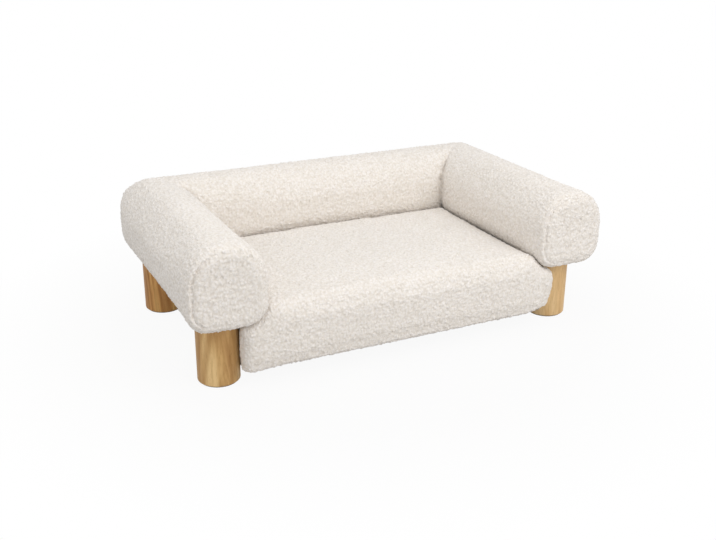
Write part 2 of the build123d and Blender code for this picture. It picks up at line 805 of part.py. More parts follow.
with BuildPart() as seat_foam:
    add(seat_core_shape)
save(seat_foam.part, "seat_foam")

with BuildPart() as seat_cover:
    add(seat_block(0))
    add(seat_core_shape, mode=Mode.SUBTRACT)
    with BuildSketch(Plane.XY.offset(seat_bottom_height)):
        with Locations((0, under_centre_y)):
            Rectangle(under_half_width * 2, under_length)
    extrude(amount=seat_cover_thickness, mode=Mode.SUBTRACT)
    with BuildSketch(Plane.XZ.offset(-seat_rear_y + seat_cover_thickness)):
        with Locations((0, zip_z)):
            Rectangle(zip_length, zip_slot_width)
    extrude(amount=-seat_cover_thickness, mode=Mode.SUBTRACT)
save(seat_cover.part, "seat_cover")

with BuildPart() as seat_under_panel:
    with BuildSketch(Plane.XY.offset(seat_bottom_height)):
        with Locations((0, under_centre_y)):
            Rectangle(under_half_width * 2, under_length)
    extrude(amount=seat_cover_thickness)
save(seat_under_panel.part, "seat_under_panel")

# Zip along the rear border: two tapes, the coil between them and a stop at each end
tape_y = seat_rear_y + zip_tape_thickness
coil_y = tape_y + zip_coil_thickness
strip_width = (zip_tape_width - zip_slot_width) / 2
strip_offset = (zip_slot_width + strip_width) / 2
with BuildPart() as zip_tapes:
    with BuildSketch(Plane.XZ.offset(-seat_rear_y)):
        with Locations((0, zip_z - strip_offset), (0, zip_z + strip_offset)):
            Rectangle(zip_length, strip_width)
    extrude(amount=-zip_tape_thickness)
save(zip_tapes.part, "zip_tapes")

with BuildPart() as zip_coil:
    with BuildSketch(Plane.XZ.offset(-tape_y)):
        with Locations((0, zip_z)):
            Rectangle(zip_length - zip_stop_length * 2, zip_coil_width)
    extrude(amount=-zip_coil_thickness)
    fillet(
        zip_coil.edges().filter_by(Axis.X).group_by(Axis.Y)[-1],
        zip_coil_thickness * zip_coil_round_share,
    )
save(zip_coil.part, "zip_coil")

stop_x = (zip_length - zip_stop_length) / 2
with BuildPart() as zip_stops:
    with BuildSketch(Plane.XZ.offset(-tape_y)):
        with Locations((-stop_x, zip_z), (stop_x, zip_z)):
            RectangleRounded(
                zip_stop_length, zip_stop_width, zip_stop_length * zip_stop_round_share
            )
    extrude(amount=-zip_stop_thickness)
save(zip_stops.part, "zip_stops")

# Slider at the closed end, with its channel over the coil and its bail
slider_x = stop_x - zip_stop_length / 2 - slider_clearance - slider_length / 2
slider_low_y = tape_y + slider_clearance
channel_y = coil_y + slider_clearance
slider_top_y = channel_y + slider_wall
bail_bar = bail_radius * 2
bail_inner_rise = pull_thickness + pull_clearance * 2
bail_inner_length = pull_thickness + pull_clearance * 2 + bail_radius * 2
bail_outer_length = bail_inner_length + bail_bar
with BuildPart() as zip_slider:
    with BuildSketch(Plane.XZ.offset(-slider_low_y)):
        with BuildLine():
            Polyline(
                (slider_x - slider_length / 2, zip_z - slider_width / 2 * slider_nose_share),
                (slider_x + slider_length / 2, zip_z - slider_width / 2),
                (slider_x + slider_length / 2, zip_z + slider_width / 2),
                (slider_x - slider_length / 2, zip_z + slider_width / 2 * slider_nose_share),
                close=True,
            )
        make_face()
        fillet(vertices(), slider_wall)
    extrude(amount=-(slider_top_y - slider_low_y))
    with BuildSketch(Plane.YZ.offset(slider_x - slider_length)):
        with Locations(((slider_low_y + channel_y) / 2, zip_z)):
            Rectangle(channel_y - slider_low_y, zip_coil_width + slider_clearance * 2)
    extrude(amount=slider_length * 2, mode=Mode.SUBTRACT)
    with BuildSketch(Plane.XY.offset(zip_z - bail_radius)):
        rise = bail_inner_rise + bail_bar * bail_top_share
        with Locations((slider_x, slider_top_y + rise / 2)):
            Rectangle(bail_outer_length, rise)
        fillet(vertices().group_by(Axis.Y)[-1], bail_bar * bail_top_share)
        with Locations((slider_x, slider_top_y + bail_inner_rise / 2)):
            Rectangle(bail_inner_length, bail_inner_rise, mode=Mode.SUBTRACT)
    extrude(amount=bail_radius * 2)
save(zip_slider.part, "zip_slider")

# Pull: its end bar turns inside the bail, and its eye passes round the bail
pull_y = slider_top_y + bail_inner_rise / 2
eye_length = math.hypot(bail_outer_length / 2, bail_inner_rise / 2 + bail_bar * bail_top_share)
eye_length += pull_clearance
eye_half_width = bail_radius + pull_clearance
with BuildPart() as zip_pull:
    with BuildSketch(Plane.XZ.offset(-(pull_y - pull_thickness / 2))):
        with BuildLine():
            Polyline(
                (slider_x + pull_thickness / 2, zip_z - pull_width / 2),
                (slider_x + pull_thickness / 2, zip_z + pull_width / 2),
                (slider_x - eye_length - pull_thickness, zip_z + pull_width / 2),
                (slider_x - pull_length / 2, zip_z + pull_width / 2 * pull_neck_share),
                (slider_x - pull_length, zip_z + pull_width / 2),
                (slider_x - pull_length, zip_z - pull_width / 2),
                (slider_x - pull_length / 2, zip_z - pull_width / 2 * pull_neck_share),
                (slider_x - eye_length - pull_thickness, zip_z - pull_width / 2),
                close=True,
            )
        make_face()
        fillet(vertices().group_by(Axis.X)[0], pull_width * pull_round_share)
        with Locations((slider_x - (eye_length + pull_thickness / 2) / 2, zip_z)):
            Rectangle(eye_length - pull_thickness / 2, eye_half_width * 2, mode=Mode.SUBTRACT)
        with Locations((slider_x - pull_length + pull_width / 2, zip_z)):
            Circle(pull_grip_hole_radius, mode=Mode.SUBTRACT)
    extrude(amount=-pull_thickness)
    fillet(
        zip_pull.edges().filter_by(Axis.Z).group_by(Axis.X)[-1], pull_thickness * bar_round_share
    )
save(zip_pull.part, "zip_pull")

zip_travel = zip_length - zip_stop_length * 2 - slider_clearance * 2 - slider_length
print("zip travel", zip_travel, "slider x", slider_x, "pull axis y", pull_y, "z", zip_z)
print("seat rear", seat_rear_y, "nest half width", arm_inner_x, "roll top", roll_top_z)
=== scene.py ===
# %% [markdown]
# # A dog sofa bed in curly fleece
#
# The sofa is a low bed for a small dog: two padded arms and a padded back in a U,
# a thick loose cushion between them, and four turned legs. The frame that is loaded
# first holds its construction at real size. This lesson dresses that frame: every
# soft part becomes a stuffed mesh with real curls on it, and every wooden, metal
# or woven part gets a finish of its own.

import math

import bpy
import numpy as np
from mathutils import Matrix, Vector


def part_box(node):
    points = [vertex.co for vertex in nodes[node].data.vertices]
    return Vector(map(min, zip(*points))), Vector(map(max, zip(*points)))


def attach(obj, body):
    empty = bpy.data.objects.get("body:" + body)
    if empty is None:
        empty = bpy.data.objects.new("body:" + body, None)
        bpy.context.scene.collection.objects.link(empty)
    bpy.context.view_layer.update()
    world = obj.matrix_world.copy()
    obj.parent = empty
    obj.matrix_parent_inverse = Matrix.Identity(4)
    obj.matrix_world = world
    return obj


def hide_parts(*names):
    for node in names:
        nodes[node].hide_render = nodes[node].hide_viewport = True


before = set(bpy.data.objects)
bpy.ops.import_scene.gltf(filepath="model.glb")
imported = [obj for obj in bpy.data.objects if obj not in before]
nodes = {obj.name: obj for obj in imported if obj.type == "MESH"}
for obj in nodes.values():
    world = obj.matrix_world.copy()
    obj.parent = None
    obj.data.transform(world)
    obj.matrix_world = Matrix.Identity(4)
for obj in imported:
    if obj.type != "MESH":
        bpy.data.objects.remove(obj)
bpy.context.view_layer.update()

# %% [markdown]
# ## Small helpers
#
# Blender's operators act on whatever is selected, so each step starts by selecting
# one object and nothing else. Coordinates are read and written as one array,
# which is quick enough for meshes of several hundred thousand points.

# %% Selecting and settling
def only(piece):
    """Make a piece the one selected and active object."""
    bpy.ops.object.select_all(action="DESELECT")
    piece.hide_set(False)
    piece.select_set(True)
    bpy.context.view_layer.objects.active = piece
    return piece


def settle(piece, name):
    """Name a new piece and move its place, turn and size into its mesh."""
    only(piece)
    bpy.ops.object.transform_apply(location=True, rotation=True, scale=True)
    piece.name = name
    piece.data.name = name
    return piece


def newest():
    """The object that an operator has just added."""
    return bpy.context.view_layer.objects.active


def copy_of(piece, name):
    """A copy of a piece with its own mesh."""
    made = bpy.data.objects.new(name, piece.data.copy())
    made.data.name = name
    bpy.context.scene.collection.objects.link(made)
    return made


# %% Reading and writing points
def points_of(piece):
    """The piece's points as an array of rows x, y, z."""
    flat = np.zeros(len(piece.data.vertices) * 3, np.float32)
    piece.data.vertices.foreach_get("co", flat)
    return flat.reshape(-1, 3).astype(float)


def normals_of(piece):
    """The direction in which the surface faces at each point."""
    flat = np.zeros(len(piece.data.vertices) * 3, np.float32)
    piece.data.vertices.foreach_get("normal", flat)
    return flat.reshape(-1, 3).astype(float)


def middles_of(piece):
    """The middle of each face."""
    flat = np.zeros(len(piece.data.polygons) * 3, np.float32)
    piece.data.polygons.foreach_get("center", flat)
    return flat.reshape(-1, 3).astype(float)


def move_points(piece, places):
    """Write the points back and let the mesh find its normals again."""
    piece.data.vertices.foreach_set("co", places.astype(np.float32).ravel())
    piece.data.update()


def smooth_step(values, low, high):
    """0 below low, 1 above high, and an even ease between them."""
    share = np.clip((values - low) / (high - low), 0, 1)
    return share * share * (3 - 2 * share)


def bell(values, width):
    """1 where the values are zero, falling off evenly on both sides."""
    return np.exp(-((values / width) ** 2))


# %% Adding and applying modifiers
def finish_with(piece, kind, **settings):
    """Add one modifier with these settings and apply it at once."""
    only(piece)
    modifier = piece.modifiers.new(kind.lower(), kind)
    for name, value in settings.items():
        setattr(modifier, name, value)
    bpy.ops.object.modifier_apply(modifier=modifier.name)
    return piece


def stuffing_from(node_names, name):
    """One loose mesh that holds copies of several parts of the construction."""
    copies = [copy_of(nodes[node_name], node_name + "_copy") for node_name in node_names]
    bpy.ops.object.select_all(action="DESELECT")
    for copy in copies:
        copy.select_set(True)
    bpy.context.view_layer.objects.active = copies[0]
    if len(copies) > 1:
        bpy.ops.object.join()
    piece = settle(newest(), name)
    bpy.ops.object.mode_set(mode="EDIT")
    bpy.ops.mesh.select_all(action="SELECT")
    bpy.ops.mesh.remove_doubles(threshold=1e-6)
    bpy.ops.object.mode_set(mode="OBJECT")
    piece.data.materials.clear()
    return piece


# %% [markdown]
# ## Blowing the padding up
#
# Upholstery looks soft because its cover is pushed out by what is under it, and
# the cover holds it back at seams and corners. A subdivision surface alone would
# round it evenly, as if it were moulded. Cloth with pressure and no gravity swells
# as a stuffed cover does. Each point's travel is then eased to a small limit, so
# that the stuffed piece stays in the room that the construction gives it.

# %% A cloth simulation with a limit
voxel = 0.006
sim_frames = 14


def stuffed(piece, pressure, limit, give=None):
    """Inflate a piece like a cushion, no point by more than the limit in metres.

    give holds a share for each point: 1 moves freely and 0 is held by a seam.
    """
    before = points_of(piece)
    only(piece)
    modifier = piece.modifiers.new("cover", "CLOTH")
    cover = modifier.settings
    cover.quality = 4
    cover.mass = 0.3
    cover.tension_stiffness = 18
    cover.compression_stiffness = 12
    cover.shear_stiffness = 8
    cover.bending_stiffness = 0.8
    cover.use_pressure = True
    cover.uniform_pressure_force = pressure
    cover.effector_weights.gravity = 0
    modifier.collision_settings.use_collision = False
    for step in range(1, sim_frames + 1):
        bpy.context.scene.frame_set(step)
    bpy.ops.object.modifier_apply(modifier=modifier.name)
    bpy.context.scene.frame_set(1)
    travel = points_of(piece) - before
    length = np.linalg.norm(travel, axis=1, keepdims=True) + 1e-9
    eased = limit * np.tanh(length / limit) / length
    if give is not None:
        eased = eased * give[:, None]
    move_points(piece, before + travel * eased)
    print(piece.name, "swelled by up to", round(float((length * eased).max()) * 1000, 1), "mm")
    return piece


# %% [markdown]
# ## Curls on the fleece
#
# The fabric is a curly fleece whose knots are four to five millimetres wide. At this
# size they are real bumps that cast shadows and roughen the outline, which a bump in
# the material can't do. So they are made as geometry: a swirl pushes the points
# about, a cell pattern lifts each knot, and two cloud patterns, one of them finer,
# roll its top into curls. How far each point was lifted is kept as an attribute, so
# that the material can paint shade into the low places between the knots. The finest
# relief, which would need millions of faces, is left to the material.

# %% Curls as displacement
curl_width = 0.0043
curl_height = 0.0030
tuft_width = 0.0024
swirl_width = curl_width * 1.4
swirl_travel = curl_width * 0.5
cell_share = 0.55
curl_share = 0.6
tuft_share = 0.4
rest_level = 0.35
lift_percentiles = (4, 96)
lump_width = 0.045
lump_height = 0.0014
pile_steps = 10


def pattern(name, kind, width, **settings):
    """A procedural pattern for a Displace modifier."""
    made = bpy.data.textures.new(name, kind)
    made.noise_scale = width
    for setting, value in settings.items():
        setattr(made, setting, value)
    return made


lumps = pattern("lumps", "CLOUDS", lump_width, noise_depth=1)
swirls = pattern("swirls", "CLOUDS", swirl_width, noise_depth=1, cloud_type="COLOR")
cells = pattern(
    "cells", "VORONOI", curl_width, weight_1=-1.0, weight_2=1.0, distance_metric="DISTANCE",
    noise_intensity=1.5,
)
curls = pattern("curls", "CLOUDS", curl_width, noise_depth=0, noise_type="HARD_NOISE")
tufts = pattern("tufts", "CLOUDS", tuft_width, noise_depth=0, noise_type="HARD_NOISE")


def shorn(piece, pile):
    """A vertex group that says how long each point's pile is: 1 is full, 0 none."""
    group = piece.vertex_groups.new(name="pile")
    steps = np.round(pile * pile_steps).astype(int)
    for step in np.unique(steps):
        group.add(np.flatnonzero(steps == step).tolist(), float(step) / pile_steps, "REPLACE")
    return group.name


def curled(piece, height=curl_height, pile=None, lump=lump_height):
    """Raise the curls on a finished surface and keep how high each point stands."""
    if lump:
        finish_with(
            piece, "DISPLACE", texture=lumps, texture_coords="LOCAL", strength=lump, mid_level=0.5
        )
    group = "" if pile is None else shorn(piece, pile)
    base = points_of(piece)
    facing = normals_of(piece)
    raised = {"texture_coords": "LOCAL", "vertex_group": group}
    finish_with(
        piece, "DISPLACE", texture=swirls, direction="RGB_TO_XYZ", strength=swirl_travel,
        mid_level=0.5, **raised,
    )
    for texture, share in ((cells, cell_share), (curls, curl_share), (tufts, tuft_share)):
        finish_with(
            piece, "DISPLACE", texture=texture, strength=height * share, mid_level=rest_level,
            **raised,
        )
    piece.vertex_groups.clear()
    # How high each point stands is kept for the painted shade in the low places.
    lift = ((points_of(piece) - base) * facing).sum(axis=1)
    low, high = np.percentile(lift, lift_percentiles)
    curl = piece.data.attributes.new("curl", "FLOAT", "POINT")
    curl.data.foreach_set("value", np.clip((lift - low) / (high - low), 0, 1).astype(np.float32))
    print(piece.name, "curls from", round(low * 1000, 2), "to", round(high * 1000, 2), "mm")
    return piece


# %% [markdown]
# ## The rolls
#
# The arms and the back are one U of padding under three sleeves, sewn together in
# mitres at the back corners, and each arm's front is closed by a panel with a seam
# round it. The U is shaped, blown up and curled in one go, so that the curls run on
# over every seam. The seams are drawn in by moving points, and the panels and
# sleeves are cut apart at the end.

# %% Shape the U
arm_nodes = {side: [f"{side}_arm_cover", f"{side}_arm_foam"] for side in ("left", "right")}
panel_nodes = {side: f"{side}_arm_end_panel" for side in ("left", "right")}
back_nodes = ["back_cover", "back_foam"]
side_signs = {"left": -1, "right": 1}
panel_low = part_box("left_arm_end_panel")[0]
arm_front_y = panel_low.y
front_give = 0.3
front_grip_from = 0.008
front_grip_to = 0.030

rolls = stuffing_from(
    [*arm_nodes["left"], *arm_nodes["right"], *panel_nodes.values(), *back_nodes], "rolls"
)
finish_with(rolls, "REMESH", mode="VOXEL", voxel_size=voxel)
finish_with(rolls, "SMOOTH", factor=0.5, iterations=2)
behind = points_of(rolls)[:, 1] - arm_front_y
give = front_give + (1 - front_give) * smooth_step(behind, front_grip_from, front_grip_to)
stuffed(rolls, pressure=2.0, limit=0.003, give=give)
finish_with(rolls, "SUBSURF", levels=2, render_levels=2)
print("rolls:", len(rolls.data.polygons), "faces")

# %% Where the seams run
arm_low, arm_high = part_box("left_arm_cover")
back_low, back_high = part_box("back_cover")
arm_inner_x = -arm_high.x
half_width = -arm_low.x
arm_centre_x = (arm_inner_x + half_width) / 2
arm_middle_z = (arm_low.z + arm_high.z) / 2
arm_half_height = (arm_high.z - arm_low.z) / 2
roll_top_radius = 0.064
roll_bottom_radius = 0.039
seam_outside_panel = 0.003
seam_inset = panel_low.x - arm_low.x - seam_outside_panel
seam_reach_back = 0.016


def inset_from_front_outline(places, side):
    """How far inside the outline of an arm's rounded front each point lies."""
    across = np.abs(places[:, 0] - side_signs[side] * arm_centre_x)
    rise = places[:, 2] - arm_middle_z
    radius = np.where(rise > 0, roll_top_radius, roll_bottom_radius)
    out_x = across - (half_width - arm_inner_x) / 2 + radius
    out_z = np.abs(rise) - arm_half_height + radius
    corner = np.hypot(np.maximum(out_x, 0), np.maximum(out_z, 0))
    return radius - corner - np.minimum(np.maximum(out_x, out_z), 0)


def along_mitre(places, side):
    """Distance from a corner's mitre plane, and the share of the way out along it."""
    inner = np.array([side_signs[side] * arm_inner_x, back_low.y])
    outer = np.array([side_signs[side] * half_width, back_high.y])
    reach = outer - inner
    length = np.linalg.norm(reach)
    reach = reach / length
    offset = places[:, :2] - inner
    return offset @ np.array([-reach[1], reach[0]]), offset @ reach / length


print("seam", round(seam_inset * 1000, 1), "mm inside the arms' fronts")

# %% Settle the padding: rounder outer corners, softer shoulders, fronts that hang a little
corner_ease = 0.0050
corner_reach = 0.09
shoulder_ease = 0.0030
shoulder_reach = 0.055
front_sag = {"left": 0.0035, "right": 0.0012}
sag_reach = 0.05

places = points_of(rolls)
outward = np.abs(places[:, 0]) - half_width
sideways = np.sign(places[:, 0])
rounded = smooth_step(outward, -corner_reach, 0)
rounded *= smooth_step(places[:, 1], back_high.y - corner_reach, back_high.y)
softened = smooth_step(outward, -shoulder_reach, 0)
softened *= smooth_step(places[:, 2], arm_high.z - shoulder_reach, arm_high.z)
softened *= smooth_step(places[:, 1], arm_front_y + sag_reach / 2, arm_front_y + sag_reach * 2)
hanging = 1 - smooth_step(places[:, 1], arm_front_y + sag_reach / 4, arm_front_y + sag_reach)
hanging *= 1 - smooth_step(places[:, 2], arm_low.z, arm_low.z + sag_reach)
places[:, 0] -= sideways * (corner_ease * rounded + shoulder_ease * softened)
places[:, 1] -= corner_ease * rounded
own_sag = np.where(sideways < 0, front_sag["left"], front_sag["right"])
places[:, 2] -= shoulder_ease * softened + own_sag * hanging
move_points(rolls, places)
print("outer corners eased by up to", corner_ease * 1000, "mm")

# %% How deep and how wide the seams are
seam_depth = 0.0024
seam_width = 0.0018
rim_inset = 0.0060
rim_width = 0.0030
rim_height = 0.0020
quiet_seam = 0.08
panel_dome = 0.0012
mitre_width = 0.0035
mitre_depth = 0.0010
inner_mitre_depth = 0.0065
slit_width = 0.0020
slit_depth = 0.0045
upright_share = 0.6
upright_ease = 0.02
crease_full_share = 0.06
crease_end_share = 0.3

# %% Draw the seams in
# The panel's seam stands up clearly only along the upright left edge of each front.
places = points_of(rolls)
depth = np.zeros(len(places))
front_full_y = arm_front_y + seam_reach_back / 2
in_front = 1 - smooth_step(places[:, 1], front_full_y, arm_front_y + seam_reach_back)
rise = np.abs(places[:, 2] - arm_middle_z)
for side in side_signs:
    own_side = places[:, 0] * side_signs[side] > 0
    inset = inset_from_front_outline(places, side)
    across = places[:, 0] - side_signs[side] * arm_centre_x
    upright = 1 - smooth_step(rise, arm_half_height * upright_share, arm_half_height)
    upright *= 1 - smooth_step(across, -upright_ease, upright_ease)
    seam = seam_depth * bell(inset - seam_inset, seam_width)
    seam -= rim_height * bell(inset - rim_inset, rim_width)
    dome = panel_dome * smooth_step(inset, seam_inset, seam_inset * 2)
    shape = seam * (quiet_seam + (1 - quiet_seam) * upright) - dome
    depth += np.where(own_side, shape * in_front, 0)
    off_plane, way_out = along_mitre(places, side)
    inside = 1 - smooth_step(way_out, crease_full_share, crease_end_share)
    crease = (mitre_depth + inner_mitre_depth * inside) * np.exp(-np.abs(off_plane) / mitre_width)
    crease += slit_depth * inside * bell(off_plane, slit_width)
    depth += np.where(own_side & (way_out > -crease_end_share), crease, 0)
move_points(rolls, places - normals_of(rolls) * depth[:, None])
curled(rolls)

# %% Close a cut edge
panel_fold = 0.0035
sleeve_fold = 0.0040


def open_edges():
    """Select the open edges of the mesh in edit mode."""
    bpy.ops.mesh.select_all(action="DESELECT")
    bpy.ops.mesh.select_non_manifold(
        extend=False, use_wire=False, use_boundary=True, use_multi_face=False,
        use_non_contiguous=False, use_verts=False,
    )


def fold_in(piece, depth):
    """Fold the cut edges of a piece back into the padding and close them there."""
    only(piece)
    bpy.ops.object.mode_set(mode="EDIT")
    bpy.ops.mesh.select_mode(type="EDGE")
    open_edges()
    bpy.ops.mesh.mark_sharp()
    bpy.ops.mesh.extrude_edges_move(TRANSFORM_OT_translate={"value": (0, depth, 0)})
    bpy.ops.mesh.fill(use_beauty=False)
    bpy.ops.mesh.select_all(action="SELECT")
    bpy.ops.mesh.normals_make_consistent(inside=False)
    bpy.ops.object.mode_set(mode="OBJECT")


# %% Take the front panels out
def take_front_panel(side):
    """Cut the cloth inside the seam of an arm's front loose as a piece of its own."""
    middles = middles_of(rolls)
    inside = (
        (middles[:, 0] * side_signs[side] > 0)
        & (middles[:, 1] < arm_front_y + seam_reach_back)
        & (inset_from_front_outline(middles, side) > seam_inset)
    )
    only(rolls)
    bpy.ops.object.mode_set(mode="EDIT")
    bpy.ops.mesh.select_mode(type="FACE")
    bpy.ops.mesh.select_all(action="DESELECT")
    bpy.ops.object.mode_set(mode="OBJECT")
    rolls.data.polygons.foreach_set("select", inside)
    bpy.ops.object.mode_set(mode="EDIT")
    bpy.ops.mesh.separate(type="SELECTED")
    bpy.ops.object.mode_set(mode="OBJECT")
    panel = [piece for piece in bpy.context.selected_objects if piece != rolls][0]
    settle(panel, f"{side}_front_panel")
    fold_in(panel, panel_fold)
    print(panel.name, len(panel.data.polygons), "faces")
    return panel


front_panels = {side: take_front_panel(side) for side in side_signs}
fold_in(rolls, sleeve_fold)

# %% Cut the sleeves apart at the mitres
def cut(piece, side, keep_back):
    """Cut a piece with the mitre plane of one corner and close the cut."""
    inner = Vector((side_signs[side] * arm_inner_x, back_low.y, 0))
    outer = Vector((side_signs[side] * half_width, back_high.y, 0))
    across = (outer - inner).normalized().cross(Vector((0, 0, 1)))
    if across.y < 0:
        across = -across
    only(piece)
    bpy.ops.object.mode_set(mode="EDIT")
    bpy.ops.mesh.select_all(action="SELECT")
    bpy.ops.mesh.bisect(
        plane_co=inner, plane_no=across, use_fill=True,
        clear_inner=keep_back, clear_outer=not keep_back, threshold=1e-5,
    )
    bpy.ops.mesh.mark_sharp()
    bpy.ops.object.mode_set(mode="OBJECT")
    return piece


sleeves = {
    "left": cut(copy_of(rolls, "left_arm_sleeve"), "left", keep_back=False),
    "back": copy_of(rolls, "back_sleeve"),
    "right": cut(copy_of(rolls, "right_arm_sleeve"), "right", keep_back=False),
}
cut(sleeves["back"], "left", keep_back=True)
cut(sleeves["back"], "right", keep_back=True)
bpy.data.objects.remove(rolls)
for sleeve in sleeves.values():
    print(sleeve.name, len(sleeve.data.polygons), "faces")

# %% [markdown]
# ## The seat cushion
#
# One thick block of foam in the same fleece. Its shoulders slope under the rolls
# and its front hangs lower than they do. It is shaped in the same way as the rolls,
# but its underside is a flat cloth and its rear border is held flat by the zip, so
# the pile is left off there.

# %% Shape the cushion
seat_low, seat_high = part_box("seat_cover")
under_low, under_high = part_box("seat_under_panel")
tape_low, tape_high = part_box("zip_tapes")
deck_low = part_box("deck_board")[0]
rim_drop = 0.0028
rim_reach = 0.012
cloth_room = 0.0016
zip_border = 0.004
left_corner_lift = -0.003
right_corner_lift = 0.007
foot_grip = 0.020
rear_grip_from = 0.020
rear_grip_to = 0.005

cushion = stuffing_from(["seat_cover", "seat_foam", "seat_under_panel"], "seat_cushion")
finish_with(cushion, "REMESH", mode="VOXEL", voxel_size=voxel)
places = points_of(cushion)
give = smooth_step(places[:, 2], seat_low.z, seat_low.z + foot_grip)
give *= 1 - smooth_step(places[:, 1], seat_high.y - rear_grip_from, seat_high.y - rear_grip_to)
stuffed(cushion, pressure=1.6, limit=0.0025, give=give)
finish_with(cushion, "SUBSURF", levels=2, render_levels=2)
print("cushion:", len(cushion.data.polygons), "faces")


# %% Where cloth is sewn on, the surface stays flat and bare
band = Vector((zip_border, 0, zip_border))
cloth_ease = 0.003
foot_band = 0.003
foot_band_end = 0.006
rear_band = 0.012
rear_band_end = 0.006
tape_room = 0.0002


def within(places, low, high, axes, ease):
    """1 inside a box on the given axes and 0 outside it, with an ease at its edges."""
    share = np.ones(len(places))
    for axis in axes:
        share *= smooth_step(places[:, axis], low[axis], low[axis] + ease)
        share *= 1 - smooth_step(places[:, axis], high[axis] - ease, high[axis])
    return share


def held_flat(places):
    """Keep the underside off its cloth and the rear border behind the zip's tapes."""
    low_down = 1 - smooth_step(places[:, 2], seat_low.z + foot_band, seat_low.z + foot_band_end)
    under = within(places, under_low, under_high, (0, 1), cloth_ease) * low_down
    floor_z = seat_low.z + cloth_room
    places[:, 2] += under * np.maximum(floor_z - places[:, 2], 0)
    rear = within(places, tape_low - band, tape_high + band, (0, 2), cloth_ease)
    at_rear = smooth_step(places[:, 1], seat_high.y - rear_band, seat_high.y - rear_band_end)
    places[:, 1] -= rear * at_rear * np.maximum(places[:, 1] - tape_low.y + tape_room, 0)
    return places, np.maximum(under, rear * at_rear)


# %% Swell the front corners
corner_bulge = 0.0105
foot_draw = 0.050
leg_low_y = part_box("front_right_leg")[0].y
leg_ease_from = -0.004
leg_ease_to = 0.024
side_reach = 0.050
arm_ease_from = -0.012
arm_ease_to = 0.004
foot_reach = 0.030

places = points_of(cushion)
ahead_of_legs = 1 - smooth_step(places[:, 1], leg_low_y + leg_ease_from, leg_low_y + leg_ease_to)
at_side = smooth_step(np.abs(places[:, 0]), seat_high.x - side_reach, seat_high.x)
below_arms = 1 - smooth_step(places[:, 2], arm_low.z + arm_ease_from, arm_low.z + arm_ease_to)
drawn_in = smooth_step(places[:, 2], seat_low.z, seat_low.z + foot_draw)
drawn_in = np.where(places[:, 0] > 0, drawn_in, 1)
bulge = corner_bulge * ahead_of_legs * at_side * below_arms * drawn_in
places[:, 0] += np.sign(places[:, 0]) * bulge
at_foot = 1 - smooth_step(places[:, 2], seat_low.z, seat_low.z + foot_reach)
corner_lift = np.where(places[:, 0] > 0, right_corner_lift, left_corner_lift)
places[:, 2] += corner_lift * at_foot * ahead_of_legs * at_side
print("front corners swelled by up to", corner_bulge * 1000, "mm")

# %% Hang the rim over the deck, and raise the curls
nose_ease_from = -0.012
nose_ease_to = -0.003

overhang = 1 - smooth_step(places[:, 1], deck_low.y + nose_ease_from, deck_low.y + nose_ease_to)
near_rim = 1 - smooth_step(places[:, 2], seat_low.z, seat_low.z + rim_reach)
places[:, 2] -= rim_drop * overhang * near_rim
places, bare = held_flat(places)
move_points(cushion, places)
curled(cushion, pile=1 - bare)
places, _ = held_flat(points_of(cushion))
move_points(cushion, places)

# %% [markdown]
# ## Fleece on the tray
#
# The side panels, the rear rail and the front edge of the deck are wrapped in the
# same fleece, pulled tight over the wood. Thin walls like these would vanish in a
# coarse remesh, so copies of their covers are remeshed finely, and the
# pile grows only on the outside, away from the wood.

# %% Wrap the tray
wrap_voxel = 0.0015
wrap_height = 0.0022
wrap_ease = 0.002
nose_ease = 0.0005
side_pile = 0.6


def wrapped(node_name, name, outside):
    """A tight fleece cover: outside says where, at each point, the pile may grow."""
    piece = stuffing_from([node_name], name)
    finish_with(piece, "REMESH", mode="VOXEL", voxel_size=wrap_voxel)
    finish_with(piece, "SMOOTH", factor=0.5, iterations=1)
    places = points_of(piece)
    curled(piece, height=wrap_height, pile=outside(places), lump=0)
    print(name, len(piece.data.polygons), "faces")
    return piece


side_low, side_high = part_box("right_side_cover")
rail_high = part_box("rear_rail")[1]
nose_low_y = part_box("deck_front_cover")[0].y
wraps = {
    f"{side}_side_cover": wrapped(
        f"{side}_side_cover", f"{side}_side_wrap",
        lambda places: smooth_step(np.abs(places[:, 0]), side_low.x, side_high.x),
    )
    for side in side_signs
}
wraps["deck_front_cover"] = wrapped(
    "deck_front_cover", "deck_front_wrap",
    lambda places: np.maximum(
        1 - smooth_step(places[:, 1], nose_low_y, deck_low.y + nose_ease),
        side_pile * smooth_step(np.abs(places[:, 0]), -seat_low.x - wrap_ease, -seat_low.x),
    ),
)
wraps["rear_rail_cover"] = wrapped(
    "rear_rail_cover", "rear_rail_wrap",
    lambda places: np.maximum(
        smooth_step(places[:, 1], rail_high.y, rail_high.y + wrap_ease),
        smooth_step(places[:, 2], rail_high.z, rail_high.z + wrap_ease),
    ),
)

# %% [markdown]
# ## Flat cloths
#
# A thin black cloth closes the tray from below, and a plain cloth closes the
# cushion. Both are cut flat and pulled tight, so each is a grid that follows the
# real outline, and Solidify gives it its thickness. A cloth simulation would change
# little on cloth that is pulled tight, so the shallow puckers along its edges are a
# wave that fades towards the middle.

# %% Lines of a grid
def spread(*stops):
    """Grid lines between the stops: pairs of a place and the number of steps to the next."""
    lines = []
    for (place, steps), (following, _) in zip(stops, stops[1:]):
        lines += [place + (following - place) * step / steps for step in range(steps)]
    return np.array([*lines, stops[-1][0]])


# %% A stretched cloth
# The puckers are a wave of this many radians to a metre, highest on this grid line.
pucker_radians = (410, 370)
pucker_line = 1.0
pucker_lines = 2.5
cloth_lift = 0.0002


